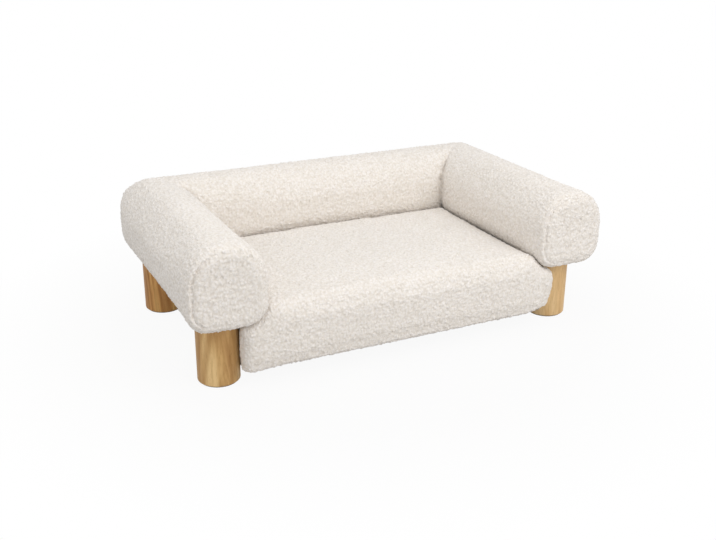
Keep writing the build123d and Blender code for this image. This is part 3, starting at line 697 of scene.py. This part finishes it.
def stretched_cloth(name, x_lines, y_lines, z, missing, thickness, pucker):
    """A flat cloth on these grid lines, without the cells that missing picks out."""
    bpy.ops.object.select_all(action="DESELECT")
    bpy.ops.mesh.primitive_grid_add(
        x_subdivisions=len(x_lines) - 1, y_subdivisions=len(y_lines) - 1, size=2,
        location=(0, 0, 0),
    )
    piece = settle(newest(), name)
    unit = points_of(piece)
    columns = np.round((unit[:, 0] + 1) / 2 * (len(x_lines) - 1)).astype(int)
    rows = np.round((unit[:, 1] + 1) / 2 * (len(y_lines) - 1)).astype(int)
    places = np.stack([x_lines[columns], y_lines[rows], np.full(len(unit), z)], axis=1)
    edge = np.minimum(
        np.minimum(columns, len(x_lines) - 1 - columns), np.minimum(rows, len(y_lines) - 1 - rows)
    )
    waves = np.sin(places[:, 0] * pucker_radians[0]) * np.cos(places[:, 1] * pucker_radians[1])
    places[:, 2] += pucker * waves * bell(edge - pucker_line, pucker_lines) * (edge > 0)
    move_points(piece, places)
    only(piece)
    bpy.ops.object.mode_set(mode="EDIT")
    bpy.ops.mesh.select_mode(type="FACE")
    bpy.ops.mesh.select_all(action="DESELECT")
    bpy.ops.object.mode_set(mode="OBJECT")
    middles = middles_of(piece)
    piece.data.polygons.foreach_set("select", missing(middles))
    bpy.ops.object.mode_set(mode="EDIT")
    bpy.ops.mesh.delete(type="FACE")
    bpy.ops.object.mode_set(mode="OBJECT")
    finish_with(piece, "SOLIDIFY", thickness=thickness, offset=1.0)
    bpy.ops.object.shade_smooth()
    print(name, len(piece.data.polygons), "faces")
    return piece


# %% Dust cloth under the tray
dust_low, dust_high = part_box("dust_cover")
side_panel_low, side_panel_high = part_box("left_side_panel")
leg_cutout = 0.006
nose_x = -seat_low.x - leg_cutout
panel_front_y = side_panel_low.y + leg_cutout
panel_rear_y = side_panel_high.y - leg_cutout
dust_cloth = stretched_cloth(
    "dust_cloth",
    spread((dust_low.x, 2), (-nose_x, 60), (nose_x, 2), (dust_high.x, 0)),
    spread((dust_low.y, 8), (panel_front_y, 26), (panel_rear_y, 6), (dust_high.y, 0)),
    dust_low.z + cloth_lift,
    lambda middles: (np.abs(middles[:, 0]) > nose_x)
    & ((middles[:, 1] < panel_front_y) | (middles[:, 1] > panel_rear_y)),
    thickness=0.0005, pucker=0.00025,
)
dust_size = (dust_high.x - dust_low.x, dust_high.y - dust_low.y)
dust_area = nose_x * 2 * dust_size[1]
dust_area += (dust_high.x - nose_x) * 2 * (panel_rear_y - panel_front_y)
print("dust cloth is cut to", [round(side, 4) for side in dust_size], "m,", round(dust_area, 4), "m2")

# %% Cloth under the cushion
under_cloth = stretched_cloth(
    "cushion_under_cloth",
    spread((under_low.x, 64), (under_high.x, 0)),
    spread((under_low.y, 40), (under_high.y, 0)),
    under_low.z + cloth_lift,
    lambda middles: np.zeros(len(middles), bool),
    thickness=0.0008, pucker=0.00015,
)

# %% [markdown]
# ## The zip
#
# Two woven tapes with a row of stitches each, and between them two rows of moulded
# teeth that mesh. A pattern in the material could draw them, but would look flat from
# close by. So one stitch and one tooth are modelled as small bevelled blocks and
# repeated by an Array modifier, as the real ones come off a machine.

# %% A row of one small shape
def block(name, low, high, bevel):
    """A block between two corners with rounded edges."""
    middle = (Vector(low) + Vector(high)) / 2
    bpy.ops.object.select_all(action="DESELECT")
    bpy.ops.mesh.primitive_cube_add(size=1, location=middle, scale=Vector(high) - Vector(low))
    piece = settle(newest(), name)
    bpy.ops.object.mode_set(mode="EDIT")
    bpy.ops.mesh.select_all(action="SELECT")
    bpy.ops.mesh.bevel(offset=bevel, segments=2, affect="EDGES")
    bpy.ops.object.mode_set(mode="OBJECT")
    return piece


def rows_of(piece, pitch, length):
    """Repeat a small shape along +X over a length."""
    count = int(length / pitch)
    finish_with(
        piece, "ARRAY", count=count, use_relative_offset=False, use_constant_offset=True,
        constant_offset_displace=(pitch, 0, 0),
    )
    return piece


def joined(pieces, name):
    """Make several pieces one."""
    bpy.ops.object.select_all(action="DESELECT")
    for piece in pieces:
        piece.select_set(True)
    bpy.context.view_layer.objects.active = pieces[0]
    bpy.ops.object.join()
    return settle(newest(), name)


# %% Tapes with their stitches
coil_low, coil_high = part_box("zip_coil")
slot_half = 0.0015
zip_z = (tape_low.z + tape_high.z) / 2
tape_bevel = 0.0003
stitch_pitch = 0.0042
stitch_length = 0.0032
stitch_z = 0.0085
stitch_margin = 0.003
stitch_bevel = 0.0002
thread_half = 0.0003
thread_sunk = 0.0001
thread_proud = 0.0004
tape_parts = []
for up in (-1, 1):
    low_z, high_z = sorted((zip_z + up * slot_half, zip_z + up * (tape_high.z - zip_z)))
    tape_parts.append(block(
        "tape", (tape_low.x, tape_low.y, low_z), (tape_high.x, tape_high.y, high_z), tape_bevel
    ))
tapes = joined(tape_parts, "zip_tape_strips")
stitch_rows = []
for up in (-1, 1):
    row_z = zip_z + up * stitch_z
    first_x = tape_low.x + stitch_margin
    stitch = block(
        "stitch", (first_x, tape_high.y - thread_sunk, row_z - thread_half),
        (first_x + stitch_length, tape_high.y + thread_proud, row_z + thread_half), stitch_bevel,
    )
    row_length = tape_high.x - tape_low.x - stitch_margin * 2
    stitch_rows.append(rows_of(stitch, stitch_pitch, row_length))
stitches = joined(stitch_rows, "zip_stitches")
print("stitches:", len(stitches.data.polygons), "faces")

# %% Teeth
tooth_pitch = 0.0030
tooth_width = 0.0011
tooth_overlap = 0.0009
tooth_bevel = 0.0003
first_tooth = 0.0002
last_tooth = 0.0015
tooth_rows = []
for up in (-1, 1):
    start = coil_low.x + (tooth_pitch / 2 if up > 0 else 0) + first_tooth
    low_z, high_z = sorted((zip_z - up * tooth_overlap, zip_z + up * (coil_high.z - zip_z)))
    tooth = block(
        "tooth", (start, coil_low.y, low_z), (start + tooth_width, coil_high.y, high_z), tooth_bevel
    )
    tooth_rows.append(rows_of(tooth, tooth_pitch, coil_high.x - coil_low.x - last_tooth))
teeth = joined(tooth_rows, "zip_teeth")
print("teeth:", len(teeth.data.polygons), "faces")

# %% [markdown]
# ## Finishes
#
# Each finish is a small node network on Object coordinates, so that it keeps its
# real scale on every piece. The first helper starts a material, the second adds a
# node and links what it reads, and the others say in one line what a ramp, a mix
# or a bump does.

# %% Start a material
def new_finish(name, colour, roughness, metal=0.0):
    """A material whose shader has these plain values on its own sockets."""
    made = bpy.data.materials.new(name)
    made.use_nodes = True
    shader = made.node_tree.nodes["Principled BSDF"]
    shader.inputs["Base Color"].default_value = (*colour, 1)
    shader.inputs["Roughness"].default_value = roughness
    shader.inputs["Metallic"].default_value = metal
    made.diffuse_color = (*colour, 1)
    return made, shader


def add_node(owner, kind, links=None, **settings):
    """Add a node to a material or world, set its values and link its inputs."""
    node = owner.node_tree.nodes.new(kind)
    for name, value in settings.items():
        setattr(node, name, value)
    for socket, source in (links or {}).items():
        if hasattr(source, "is_output"):
            owner.node_tree.links.new(source, node.inputs[socket])
        else:
            node.inputs[socket].default_value = source
    return node


# %% Ramps, mixes and noise
def ramp(owner, source, stops):
    """A colour ramp from a value: a list of places and colours."""
    node = add_node(owner, "ShaderNodeValToRGB", {"Fac": source})
    elements = node.color_ramp.elements
    while len(elements) < len(stops):
        elements.new(0.5)
    for element, (place, colour) in zip(elements, stops):
        element.position = place
        element.color = (*colour, 1)
    return node.outputs["Color"]


def mixed(owner, share, first, second, mode="MIX"):
    """Two colours mixed by a share."""
    node = add_node(owner, "ShaderNodeMix", data_type="RGBA", blend_type=mode)
    for socket, source in ((0, share), (6, first), (7, second)):
        if hasattr(source, "is_output"):
            owner.node_tree.links.new(source, node.inputs[socket])
        elif isinstance(source, tuple):
            node.inputs[socket].default_value = (*source, 1)
        else:
            node.inputs[socket].default_value = source
    return node.outputs[2]


def noise(owner, place, scale, detail=2.0, distortion=0.0):
    """A soft random pattern, from 0 to 1."""
    return add_node(
        owner, "ShaderNodeTexNoise",
        {"Vector": place, "Scale": scale, "Detail": detail, "Distortion": distortion},
    ).outputs["Fac"]


def stretched(owner, scale, origin=(0, 0, 0), tilt=(0, 0, 0)):
    """Object coordinates seen from an origin, turned, and stretched by a scale."""
    place = add_node(owner, "ShaderNodeTexCoord").outputs["Object"]
    return add_node(
        owner, "ShaderNodeMapping",
        {"Vector": place, "Location": origin, "Rotation": tilt, "Scale": scale},
        vector_type="TEXTURE",
    ).outputs["Vector"]


# %% Relief, colour and sums
def bumped(owner, shader, height, strength, distance):
    """Small relief from a pattern."""
    bump = add_node(
        owner, "ShaderNodeBump", {"Height": height, "Strength": strength, "Distance": distance}
    )
    owner.node_tree.links.new(bump.outputs["Normal"], shader.inputs["Normal"])


def coloured(owner, shader, colour):
    """Let a pattern colour the surface."""
    owner.node_tree.links.new(colour, shader.inputs["Base Color"])


def math_of(owner, operation, first, second=0.0):
    """One operation on two values."""
    return add_node(owner, "ShaderNodeMath", {0: first, 1: second}, operation=operation).outputs[0]


# %% [markdown]
# ## Fleece, cloth and felt
#
# The fleece is drawn as a net of small round knots, warped by a swirl so that no two
# are alike, with painted light on their tips and painted shade, darker and warmer, in
# the gaps. It also reads the height that was kept on its points and paints a little
# shade into the low places. Woven cloth is two crossed waves with painted shade
# between the threads, non-woven cloth is a grid of pressed dots, and felt is tangled
# fibre.

# %% Curly fleece
knot_width = 0.0050
knot_height = 0.0010
knot_relief = 0.75
swirl_reach = 0.0036
swirl_scale = 170.0
drift_scale = 9.0
fibre_scale = 620.0
fibre_share = 0.3


def fleece(name, shaded_gap, knot, lit_tip):
    """Ivory fleece: round knots with painted shade, darker and warmer, in the gaps and painted light
    on their tips.
    """
    made, shader = new_finish(name, knot, roughness=0.95)
    place = add_node(made, "ShaderNodeTexCoord").outputs["Object"]
    swirl = add_node(
        made, "ShaderNodeTexNoise", {"Vector": place, "Scale": swirl_scale, "Detail": 1.0}
    )
    turned = add_node(
        made, "ShaderNodeVectorMath", {0: swirl.outputs["Color"], 1: (0.5, 0.5, 0.5)},
        operation="SUBTRACT",
    ).outputs[0]
    curly = add_node(
        made, "ShaderNodeVectorMath", {0: turned, 1: (swirl_reach,) * 3, 2: place},
        operation="MULTIPLY_ADD",
    ).outputs[0]
    knots = add_node(
        made, "ShaderNodeTexVoronoi", {"Vector": curly, "Scale": 1 / knot_width, "Randomness": 0.85}
    ).outputs["Distance"]
    # Painted shade, darker and warmer, where the knots meet, and painted light on the knots' tips.
    colour = ramp(made, knots, [(0.15, lit_tip), (0.42, knot), (0.72, shaded_gap)])
    # Painted shade: the points that were lifted least are a little darker.
    curl = add_node(made, "ShaderNodeAttribute", attribute_name="curl").outputs["Fac"]
    shade = ramp(made, curl, [(0.0, (0.92, 0.905, 0.89)), (0.45, (1.0, 1.0, 1.0))])
    colour = mixed(made, 1.0, colour, shade, "MULTIPLY")
    slow = noise(made, place, drift_scale)
    drift = ramp(made, slow, [(0.3, (0.98, 0.98, 0.975)), (0.7, (1.0, 1.0, 1.0))])
    coloured(made, shader, mixed(made, 1.0, colour, drift, "MULTIPLY"))
    fibre = math_of(made, "MULTIPLY", noise(made, place, fibre_scale, detail=3.0), fibre_share)
    height = math_of(made, "SUBTRACT", fibre, knots)
    bumped(made, shader, height, strength=knot_relief, distance=knot_height)
    shader.inputs["Sheen Weight"].default_value = 0.3
    shader.inputs["Sheen Roughness"].default_value = 0.6
    shader.inputs["Specular IOR Level"].default_value = 0.12
    return made


fleece_finish = fleece(
    "curly_fleece", shaded_gap=(0.825, 0.768, 0.702), knot=(0.89, 0.841, 0.788), lit_tip=(0.920, 0.877, 0.852)
)
print("fleece with knots of", knot_width * 1000, "mm")


# %% Woven cloth
# Blender's wave pattern, in bands along X or in rings, runs through this many radians
# for each unit of its scale. A thread stands up by a share of the threads' pitch.
wave_radians = 20
thread_rise = 0.3


def wave_scale(pitch):
    """The wave pattern's scale at which its waves are a pitch apart."""
    return math.tau / (wave_radians * pitch)


def woven(name, thread, shaded_gap, pitch):
    """Plain weave with this many metres between threads."""
    made, shader = new_finish(name, thread, roughness=0.9)
    place = add_node(made, "ShaderNodeTexCoord").outputs["Object"]
    scale = wave_scale(pitch)
    across = add_node(
        made, "ShaderNodeTexWave", {"Vector": place, "Scale": scale, "Distortion": 0.6},
        bands_direction="X",
    ).outputs["Fac"]
    along = add_node(
        made, "ShaderNodeTexWave", {"Vector": place, "Scale": scale, "Distortion": 0.6},
        bands_direction="DIAGONAL",
    ).outputs["Fac"]
    weave = math_of(made, "MULTIPLY", across, along)
    # The gap colour is painted shade between the threads.
    colour = ramp(made, weave, [(0.05, shaded_gap), (0.5, thread)])
    uneven = noise(made, place, scale=260.0)
    slub = ramp(made, uneven, [(0.35, (0.9, 0.9, 0.9)), (0.65, (1.0, 1.0, 1.0))])
    coloured(made, shader, mixed(made, 1.0, colour, slub, "MULTIPLY"))
    bumped(made, shader, weave, strength=0.5, distance=pitch * thread_rise)
    shader.inputs["Sheen Weight"].default_value = 0.15
    return made


# %% Pressed and felted cloth
def pressed_cloth(name, ground, dot):
    """Thin non-woven cloth with a grid of pressed dots."""
    made, shader = new_finish(name, ground, roughness=0.85)
    place = add_node(made, "ShaderNodeTexCoord").outputs["Object"]
    dots = add_node(
        made, "ShaderNodeTexVoronoi", {"Vector": place, "Scale": 480.0, "Randomness": 0.15}
    ).outputs["Distance"]
    fibres = noise(made, place, scale=900.0, detail=3.0)
    colour = ramp(made, dots, [(0.15, dot), (0.4, ground)])
    grey = ramp(made, fibres, [(0.3, (0.75, 0.75, 0.75)), (0.7, (1.0, 1.0, 1.0))])
    coloured(made, shader, mixed(made, 1.0, colour, grey, "MULTIPLY"))
    bumped(made, shader, dots, strength=0.5, distance=0.0002)
    return made


def felted(name, dark, light):
    """Dense felt: tangled fibre in two shades of one brown."""
    made, shader = new_finish(name, light, roughness=1.0)
    place = add_node(made, "ShaderNodeTexCoord").outputs["Object"]
    fibres = noise(made, place, scale=700.0, detail=4.0, distortion=2.0)
    coloured(made, shader, ramp(made, fibres, [(0.3, dark), (0.7, light)]))
    bumped(made, shader, fibres, strength=0.7, distance=0.0004)
    return made


# %% Cloth for each use
base_cloth_finish = woven(
    "base_cloth", thread=(0.66, 0.62, 0.56), shaded_gap=(0.44, 0.40, 0.35), pitch=0.0009
)
tape_finish = woven(
    "zip_tape", thread=(0.80, 0.76, 0.69), shaded_gap=(0.55, 0.50, 0.44), pitch=0.0006
)
thread_finish = woven(
    "stitching_thread", thread=(0.86, 0.83, 0.77), shaded_gap=(0.70, 0.66, 0.60), pitch=0.0003
)
dust_finish = pressed_cloth(
    "dust_cloth_black", ground=(0.045, 0.045, 0.048), dot=(0.02, 0.02, 0.022)
)
felt_finish = felted("brown_felt", dark=(0.13, 0.10, 0.08), light=(0.27, 0.21, 0.17))
cloth_finishes = (base_cloth_finish, tape_finish, thread_finish, dust_finish, felt_finish)
print("cloths:", *(finish.name for finish in cloth_finishes))

# %% [markdown]
# ## Wood
#
# Each leg is turned from its own billet, so each has its own colour and its own
# heart. Stripes wrapped round a leg would look printed on. Here growth rings are
# cylinders round a pith that lies beside the leg and leans a little, and where the
# turned surface cuts them they show as upright lines and tall arches. Plywood shows
# a quiet face and, on its edges, the stripes of its plies.

# %% Wood of a turned leg
ring_pitch = 0.0085
grain_stretch = 9.0
grain_depth = 0.0003


def leg_wood(name, pith, lean, light, middle, dark, contrast):
    """Oiled hardwood with growth rings round a leaning pith, long grain and fine pores."""
    made, shader = new_finish(name, middle, roughness=0.5)
    log = stretched(made, (1, 1, grain_stretch), (*pith, 0), lean)
    rings = add_node(
        made, "ShaderNodeTexWave",
        {
            "Vector": log, "Scale": wave_scale(ring_pitch), "Distortion": 3.2,
            "Detail": 2.0, "Detail Scale": 0.9, "Detail Roughness": 0.55,
        },
        wave_type="RINGS", rings_direction="Z",
    ).outputs["Fac"]
    broad = noise(made, log, scale=26.0, detail=2.0, distortion=0.8)
    grain = noise(made, log, scale=240.0, detail=5.0, distortion=0.4)
    pores = noise(made, log, scale=900.0)
    colour = ramp(made, broad, [(0.30, dark), (0.48, middle), (0.68, light)])
    late = tuple(1 - contrast * share for share in (0.7, 0.95, 1.2))
    lines = ramp(made, rings, [(0.05, late), (0.6, (1, 1, 1))])
    colour = mixed(made, 1.0, colour, lines, "MULTIPLY")
    fine = ramp(made, grain, [(0.34, (0.84, 0.80, 0.74)), (0.58, (1.0, 1.0, 1.0))])
    colour = mixed(made, 1.0, colour, fine, "MULTIPLY")
    dots = ramp(made, pores, [(0.30, (0.74, 0.68, 0.60)), (0.40, (1.0, 1.0, 1.0))])
    coloured(made, shader, mixed(made, 0.7, colour, dots, "MULTIPLY"))
    rough = ramp(made, grain, [(0.2, (0.60, 0.60, 0.60)), (0.8, (0.46, 0.46, 0.46))])
    made.node_tree.links.new(rough, shader.inputs["Roughness"])
    bumped(made, shader, grain, strength=0.2, distance=grain_depth)
    shader.inputs["Specular IOR Level"].default_value = 0.35
    return made


# %% One finish for each leg
leg_finishes = {
    "front_left_leg": leg_wood(
        "front_left_leg_wood", pith=(-0.30, -0.085), lean=(0.05, -0.03, 0.4),
        light=(0.82, 0.575, 0.275), middle=(0.63, 0.39, 0.155), dark=(0.41, 0.215, 0.072),
        contrast=0.22,
    ),
    "rear_left_leg": leg_wood(
        "rear_left_leg_wood", pith=(-0.38, 0.22), lean=(-0.04, 0.05, 1.1),
        light=(0.86, 0.57, 0.22), middle=(0.66, 0.350, 0.112), dark=(0.29, 0.122, 0.036),
        contrast=0.28,
    ),
    "front_right_leg": leg_wood(
        "front_right_leg_wood", pith=(0.40, -0.11), lean=(0.03, 0.02, 2.0),
        light=(0.82, 0.60, 0.325), middle=(0.77, 0.53, 0.265), dark=(0.62, 0.375, 0.165),
        contrast=0.10,
    ),
    "rear_right_leg": leg_wood(
        "rear_right_leg_wood", pith=(0.29, 0.10), lean=(0.05, 0.04, 2.9),
        light=(0.67, 0.43, 0.19), middle=(0.58, 0.35, 0.14), dark=(0.42, 0.22, 0.08),
        contrast=0.18,
    ),
}
print("legs:", *leg_finishes)


# %% Plywood
ply_count = 7
board_thickness = 0.012
face_stretch = 8


def plywood(name, axis, start, thickness):
    """Birch plywood whose plies are stacked along one axis from a start."""
    made, shader = new_finish(name, (0.68, 0.52, 0.33), roughness=0.6)
    along_y, along_x = (1, face_stretch, 1), (face_stretch, 1, 1)
    long_grain = stretched(made, along_y if axis == "X" else along_x)
    grain = noise(made, long_grain, scale=190.0, detail=4.0, distortion=0.3)
    figure = noise(made, long_grain, scale=30.0, detail=2.0, distortion=1.0)
    face = ramp(made, figure, [(0.3, (0.60, 0.44, 0.26)), (0.7, (0.74, 0.58, 0.38))])
    streaks = ramp(made, grain, [(0.35, (0.84, 0.80, 0.74)), (0.6, (1.0, 1.0, 1.0))])
    face = mixed(made, 1.0, face, streaks, "MULTIPLY")
    coords = add_node(made, "ShaderNodeTexCoord")
    place = add_node(made, "ShaderNodeSeparateXYZ", {0: coords.outputs["Object"]}).outputs[axis]
    facing = add_node(made, "ShaderNodeSeparateXYZ", {0: coords.outputs["Normal"]}).outputs[axis]
    depth = math_of(made, "DIVIDE", math_of(made, "SUBTRACT", place, start), thickness / ply_count)
    ply = math_of(made, "PINGPONG", depth, 1.0)
    edge = ramp(made, ply, [(0.42, (0.42, 0.27, 0.14)), (0.58, (0.72, 0.56, 0.37))])
    specks = noise(made, coords.outputs["Object"], scale=500.0)
    fleck = ramp(made, specks, [(0.35, (0.8, 0.76, 0.7)), (0.6, (1, 1, 1))])
    edge = mixed(made, 1.0, edge, fleck, "MULTIPLY")
    on_face = math_of(made, "GREATER_THAN", math_of(made, "ABSOLUTE", facing), 0.7)
    coloured(made, shader, mixed(made, on_face, edge, face))
    bumped(made, shader, grain, strength=0.2, distance=grain_depth)
    return made


def plywood_of(node_name, axis):
    """Plywood whose plies start at the lower side of a node."""
    start = getattr(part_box(node_name)[0], axis.lower())
    return plywood(f"{node_name}_plywood", axis, start, board_thickness)


# %% [markdown]
# ## Metal and nylon
#
# Screws, bolts and plates are zinc plated: bright, a little cloudy, and faintly
# brushed. The zip's slider, pull and stops are die cast in a warmer grey, and
# its teeth are nylon dyed like the tape. One even gloss would make metal look like
# plastic, so noise clouds its colour and long thin noise varies its roughness.

# %% Plated metal, and nylon
brush_stretch = 14


def plated(name, bright, dull, least_rough, most_rough):
    """Cloudy plated metal with fine brush marks."""
    made, shader = new_finish(name, bright, roughness=0.4, metal=1.0)
    place = add_node(made, "ShaderNodeTexCoord").outputs["Object"]
    cloud = noise(made, place, scale=120.0, detail=3.0)
    long_marks = stretched(made, (1, 1, brush_stretch))
    brush = noise(made, long_marks, scale=1500.0, detail=2.0)
    coloured(made, shader, ramp(made, cloud, [(0.35, dull), (0.65, bright)]))
    rough = ramp(made, brush, [(0.3, (least_rough,) * 3), (0.7, (most_rough,) * 3)])
    made.node_tree.links.new(rough, shader.inputs["Roughness"])
    bumped(made, shader, brush, strength=0.15, distance=0.00005)
    return made


def nylon(name, colour, shade):
    """Dyed nylon with a slight variation from tooth to tooth."""
    made, shader = new_finish(name, colour, roughness=0.38)
    place = add_node(made, "ShaderNodeTexCoord").outputs["Object"]
    speck = noise(made, place, scale=380.0)
    coloured(made, shader, ramp(made, speck, [(0.35, shade), (0.65, colour)]))
    return made


# %% Metal and nylon for each use
zinc_finish = plated(
    "zinc_plate", bright=(0.74, 0.75, 0.76), dull=(0.58, 0.59, 0.60), least_rough=0.30,
    most_rough=0.46,
)
zip_finish = plated(
    "zip_casting", bright=(0.70, 0.68, 0.64), dull=(0.56, 0.54, 0.50), least_rough=0.26,
    most_rough=0.40,
)
nylon_finish = nylon("zip_nylon", colour=(0.82, 0.78, 0.70), shade=(0.74, 0.69, 0.61))
print("metal and nylon:", zinc_finish.name, zip_finish.name, nylon_finish.name)


# %% [markdown]
# ## Dressing the sofa
#
# A part of the construction that stays in view keeps its mesh and only changes its
# material. Then each new piece is tied to the body that it moves with, and the parts
# of the construction that it stands for are hidden.

# %% Put the finishes on
def dress(piece, finish, slot=None):
    """Give a piece one finish all over. A piece that has a slot is also shaded smooth."""
    piece.data.materials.clear()
    piece.data.materials.append(finish)
    if slot:
        only(piece)
        bpy.ops.object.shade_smooth()


fleece_pieces = [*sleeves.values(), *front_panels.values(), cushion, *wraps.values()]
for piece in fleece_pieces:
    dress(piece, fleece_finish, "boucle")
for name, finish in leg_finishes.items():
    dress(nodes[name], finish)
flat_boards = [
    "left_arm_board", "right_arm_board", "back_board", "deck_board", "left_arm_rails",
    "right_arm_rails", "back_rails",
]
plywood_axes = {name: "Z" for name in flat_boards}
plywood_axes |= {"left_side_panel": "X", "right_side_panel": "X", "back_ribs": "X"}
plywood_axes |= {"rear_rail": "Y", "left_arm_ribs": "Y", "right_arm_ribs": "Y"}
for name, axis in plywood_axes.items():
    dress(nodes[name], plywood_of(name, axis))
screws = ("plate_screws", "hanger_screws", "deck_screws")
for name in ("leg_bolts", "tee_nuts", "corner_plates", *screws):
    dress(nodes[name], zinc_finish)
for name in ("zip_stops", "zip_slider", "zip_pull"):
    dress(nodes[name], zip_finish)
dress(nodes["leg_pads"], felt_finish)
dress(dust_cloth, dust_finish, "dust_cloth")
dress(under_cloth, base_cloth_finish, "base_cloth")
dress(tapes, tape_finish, "zip_tape")
dress(stitches, thread_finish, "zip_tape")
dress(teeth, nylon_finish, "zip_coil")
print("dressed:", len(fleece_pieces), "fleece pieces and", len(plywood_axes), "plywood parts")

# %% Tie each piece to its body and hide the parts that it stands for
for side in side_signs:
    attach(sleeves[side], "frame")
    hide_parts(*arm_nodes[side])
    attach(front_panels[side], "frame")
    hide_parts(panel_nodes[side])
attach(sleeves["back"], "frame")
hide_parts(*back_nodes)
for node_name, piece in wraps.items():
    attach(piece, "frame")
    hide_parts(node_name)
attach(dust_cloth, "frame")
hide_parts("dust_cover")
for piece, replaced in (
    (cushion, ("seat_cover", "seat_foam")), (under_cloth, ("seat_under_panel",)),
    (tapes, ("zip_tapes",)), (teeth, ("zip_coil",)), (stitches, ()),
):
    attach(piece, "cushion")
    if replaced:
        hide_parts(*replaced)
print("padded pieces:", len(fleece_pieces), "and sheets: 2")

# %% [markdown]
# ## Camera
#
# The camera stands to the left of the sofa and looks down on it. Its place and
# turn were found from the outlines of the arms, the cushion and the legs.

# %% Camera
picture_width = 716
focal_pixels = 961.85
camera_place = Vector((-0.75992, -1.55563, 0.75958))
camera_yaw = math.radians(26.27)
camera_pitch = math.radians(-21.44)
camera_roll = math.radians(0.37)

ahead = Vector((
    math.sin(camera_yaw) * math.cos(camera_pitch),
    math.cos(camera_yaw) * math.cos(camera_pitch),
    math.sin(camera_pitch),
))
level = ahead.cross(Vector((0, 0, 1))).normalized()
unrolled_up = level.cross(ahead)
right = level * math.cos(camera_roll) + unrolled_up * math.sin(camera_roll)
up = unrolled_up * math.cos(camera_roll) - level * math.sin(camera_roll)
camera = bpy.data.objects.new("camera", bpy.data.cameras.new("camera"))
bpy.context.scene.collection.objects.link(camera)
camera.data.sensor_width = 36.0
camera.data.lens = focal_pixels * camera.data.sensor_width / picture_width
camera.matrix_world = Matrix.Translation(camera_place) @ Matrix(
    (right, up, -ahead)
).transposed().to_4x4()
bpy.context.scene.camera = camera
print("lens", round(camera.data.lens, 2), "mm")

# %% [markdown]
# ## Floor, world and lamps
#
# The floor and the world look white to the camera, and to glossy and transmitted
# rays, but light the sofa no more than a pale room would. Close to the sofa the
# floor keeps a little of its real shade, so that the sofa stands on it. The main
# lamp stands in front, to the right. A low one straight in front lights the face of
# the cushion, and others overhead, to the left and behind open up the shadows.

# %% White for the rays that see it
def seen_rays(owner):
    """1 for camera, glossy and transmission rays, 0 for the rays that carry light."""
    path = add_node(owner, "ShaderNodeLightPath").outputs
    seen = math_of(owner, "MAXIMUM", path["Is Camera Ray"], path["Is Glossy Ray"])
    return math_of(owner, "MAXIMUM", seen, path["Is Transmission Ray"])


# %% Floor
white_near = 0.93
white_from = 0.45
white_reach = 0.75
floor_size = 12.0
floor_drop = 0.0003
bpy.ops.object.select_all(action="DESELECT")
bpy.ops.mesh.primitive_plane_add(size=floor_size, location=(0, 0, -floor_drop))
floor = settle(newest(), "floor")
floor_finish, floor_shader = new_finish("pale_floor", (0.62, 0.61, 0.60), roughness=0.9)
floor_place = add_node(floor_finish, "ShaderNodeTexCoord").outputs["Object"]
distance = add_node(floor_finish, "ShaderNodeVectorMath", {0: floor_place}, operation="LENGTH")
whiteness = add_node(
    floor_finish, "ShaderNodeMapRange",
    {
        "Value": distance.outputs["Value"], "From Min": white_from, "From Max": white_reach,
        "To Min": white_near, "To Max": 1.0,
    },
)
share = math_of(floor_finish, "MULTIPLY", seen_rays(floor_finish), whiteness.outputs[0])
glow = add_node(floor_finish, "ShaderNodeEmission", {"Color": (1, 1, 1, 1), "Strength": 1.0})
surface = add_node(
    floor_finish, "ShaderNodeMixShader",
    {0: share, 1: floor_shader.outputs[0], 2: glow.outputs[0]},
)
floor_finish.node_tree.links.new(
    surface.outputs[0], floor_finish.node_tree.nodes["Material Output"].inputs["Surface"]
)
floor.data.materials.append(floor_finish)
print("floor", floor_size, "m wide,", floor_drop * 1000, "mm below the felt pads")

# %% World
world_strength = 0.64
world = bpy.data.worlds.new("studio")
bpy.context.scene.world = world
world.use_nodes = True
sky = world.node_tree.nodes["Background"]
sky.inputs["Color"].default_value = (1, 1, 1, 1)
strength = add_node(
    world, "ShaderNodeMapRange",
    {"Value": seen_rays(world), "To Min": world_strength, "To Max": 1.0},
)
world.node_tree.links.new(strength.outputs[0], sky.inputs["Strength"])
print("world lights at", world_strength)


# %% Lamps
def lamp(name, place, aim, size, watts):
    """A soft square lamp that points at a spot."""
    light = bpy.data.lights.new(name, "AREA")
    light.shape = "SQUARE"
    light.size = size
    light.energy = watts
    made = bpy.data.objects.new(name, light)
    bpy.context.scene.collection.objects.link(made)
    made.location = place
    made.rotation_euler = (Vector(aim) - Vector(place)).to_track_quat("-Z", "Y").to_euler()
    return made


aim = (0, 0, 0.12)
lamp("overhead_softbox", (-0.2, -0.25, 1.2), aim, size=1.1, watts=3.0)
lamp("front_softbox", (0.8, -1.6, 1.4), aim, size=1.2, watts=13.0)
lamp("low_front_softbox", (0.0, -2.2, 0.8), aim, size=1.4, watts=3.2)
lamp("left_softbox", (-2.0, 0.0, 1.0), aim, size=1.4, watts=3.9)
lamp("rear_softbox", (1.0, 2.1, 0.5), aim, size=1.2, watts=7.0)
bpy.context.scene.view_settings.view_transform = "Standard"
print("lamps:", len(bpy.data.lights))

# %% [markdown]
# ## Sizes
#
# Cloth may stand a few millimetres proud of the construction.

# %% The end
print("the sofa is dressed")
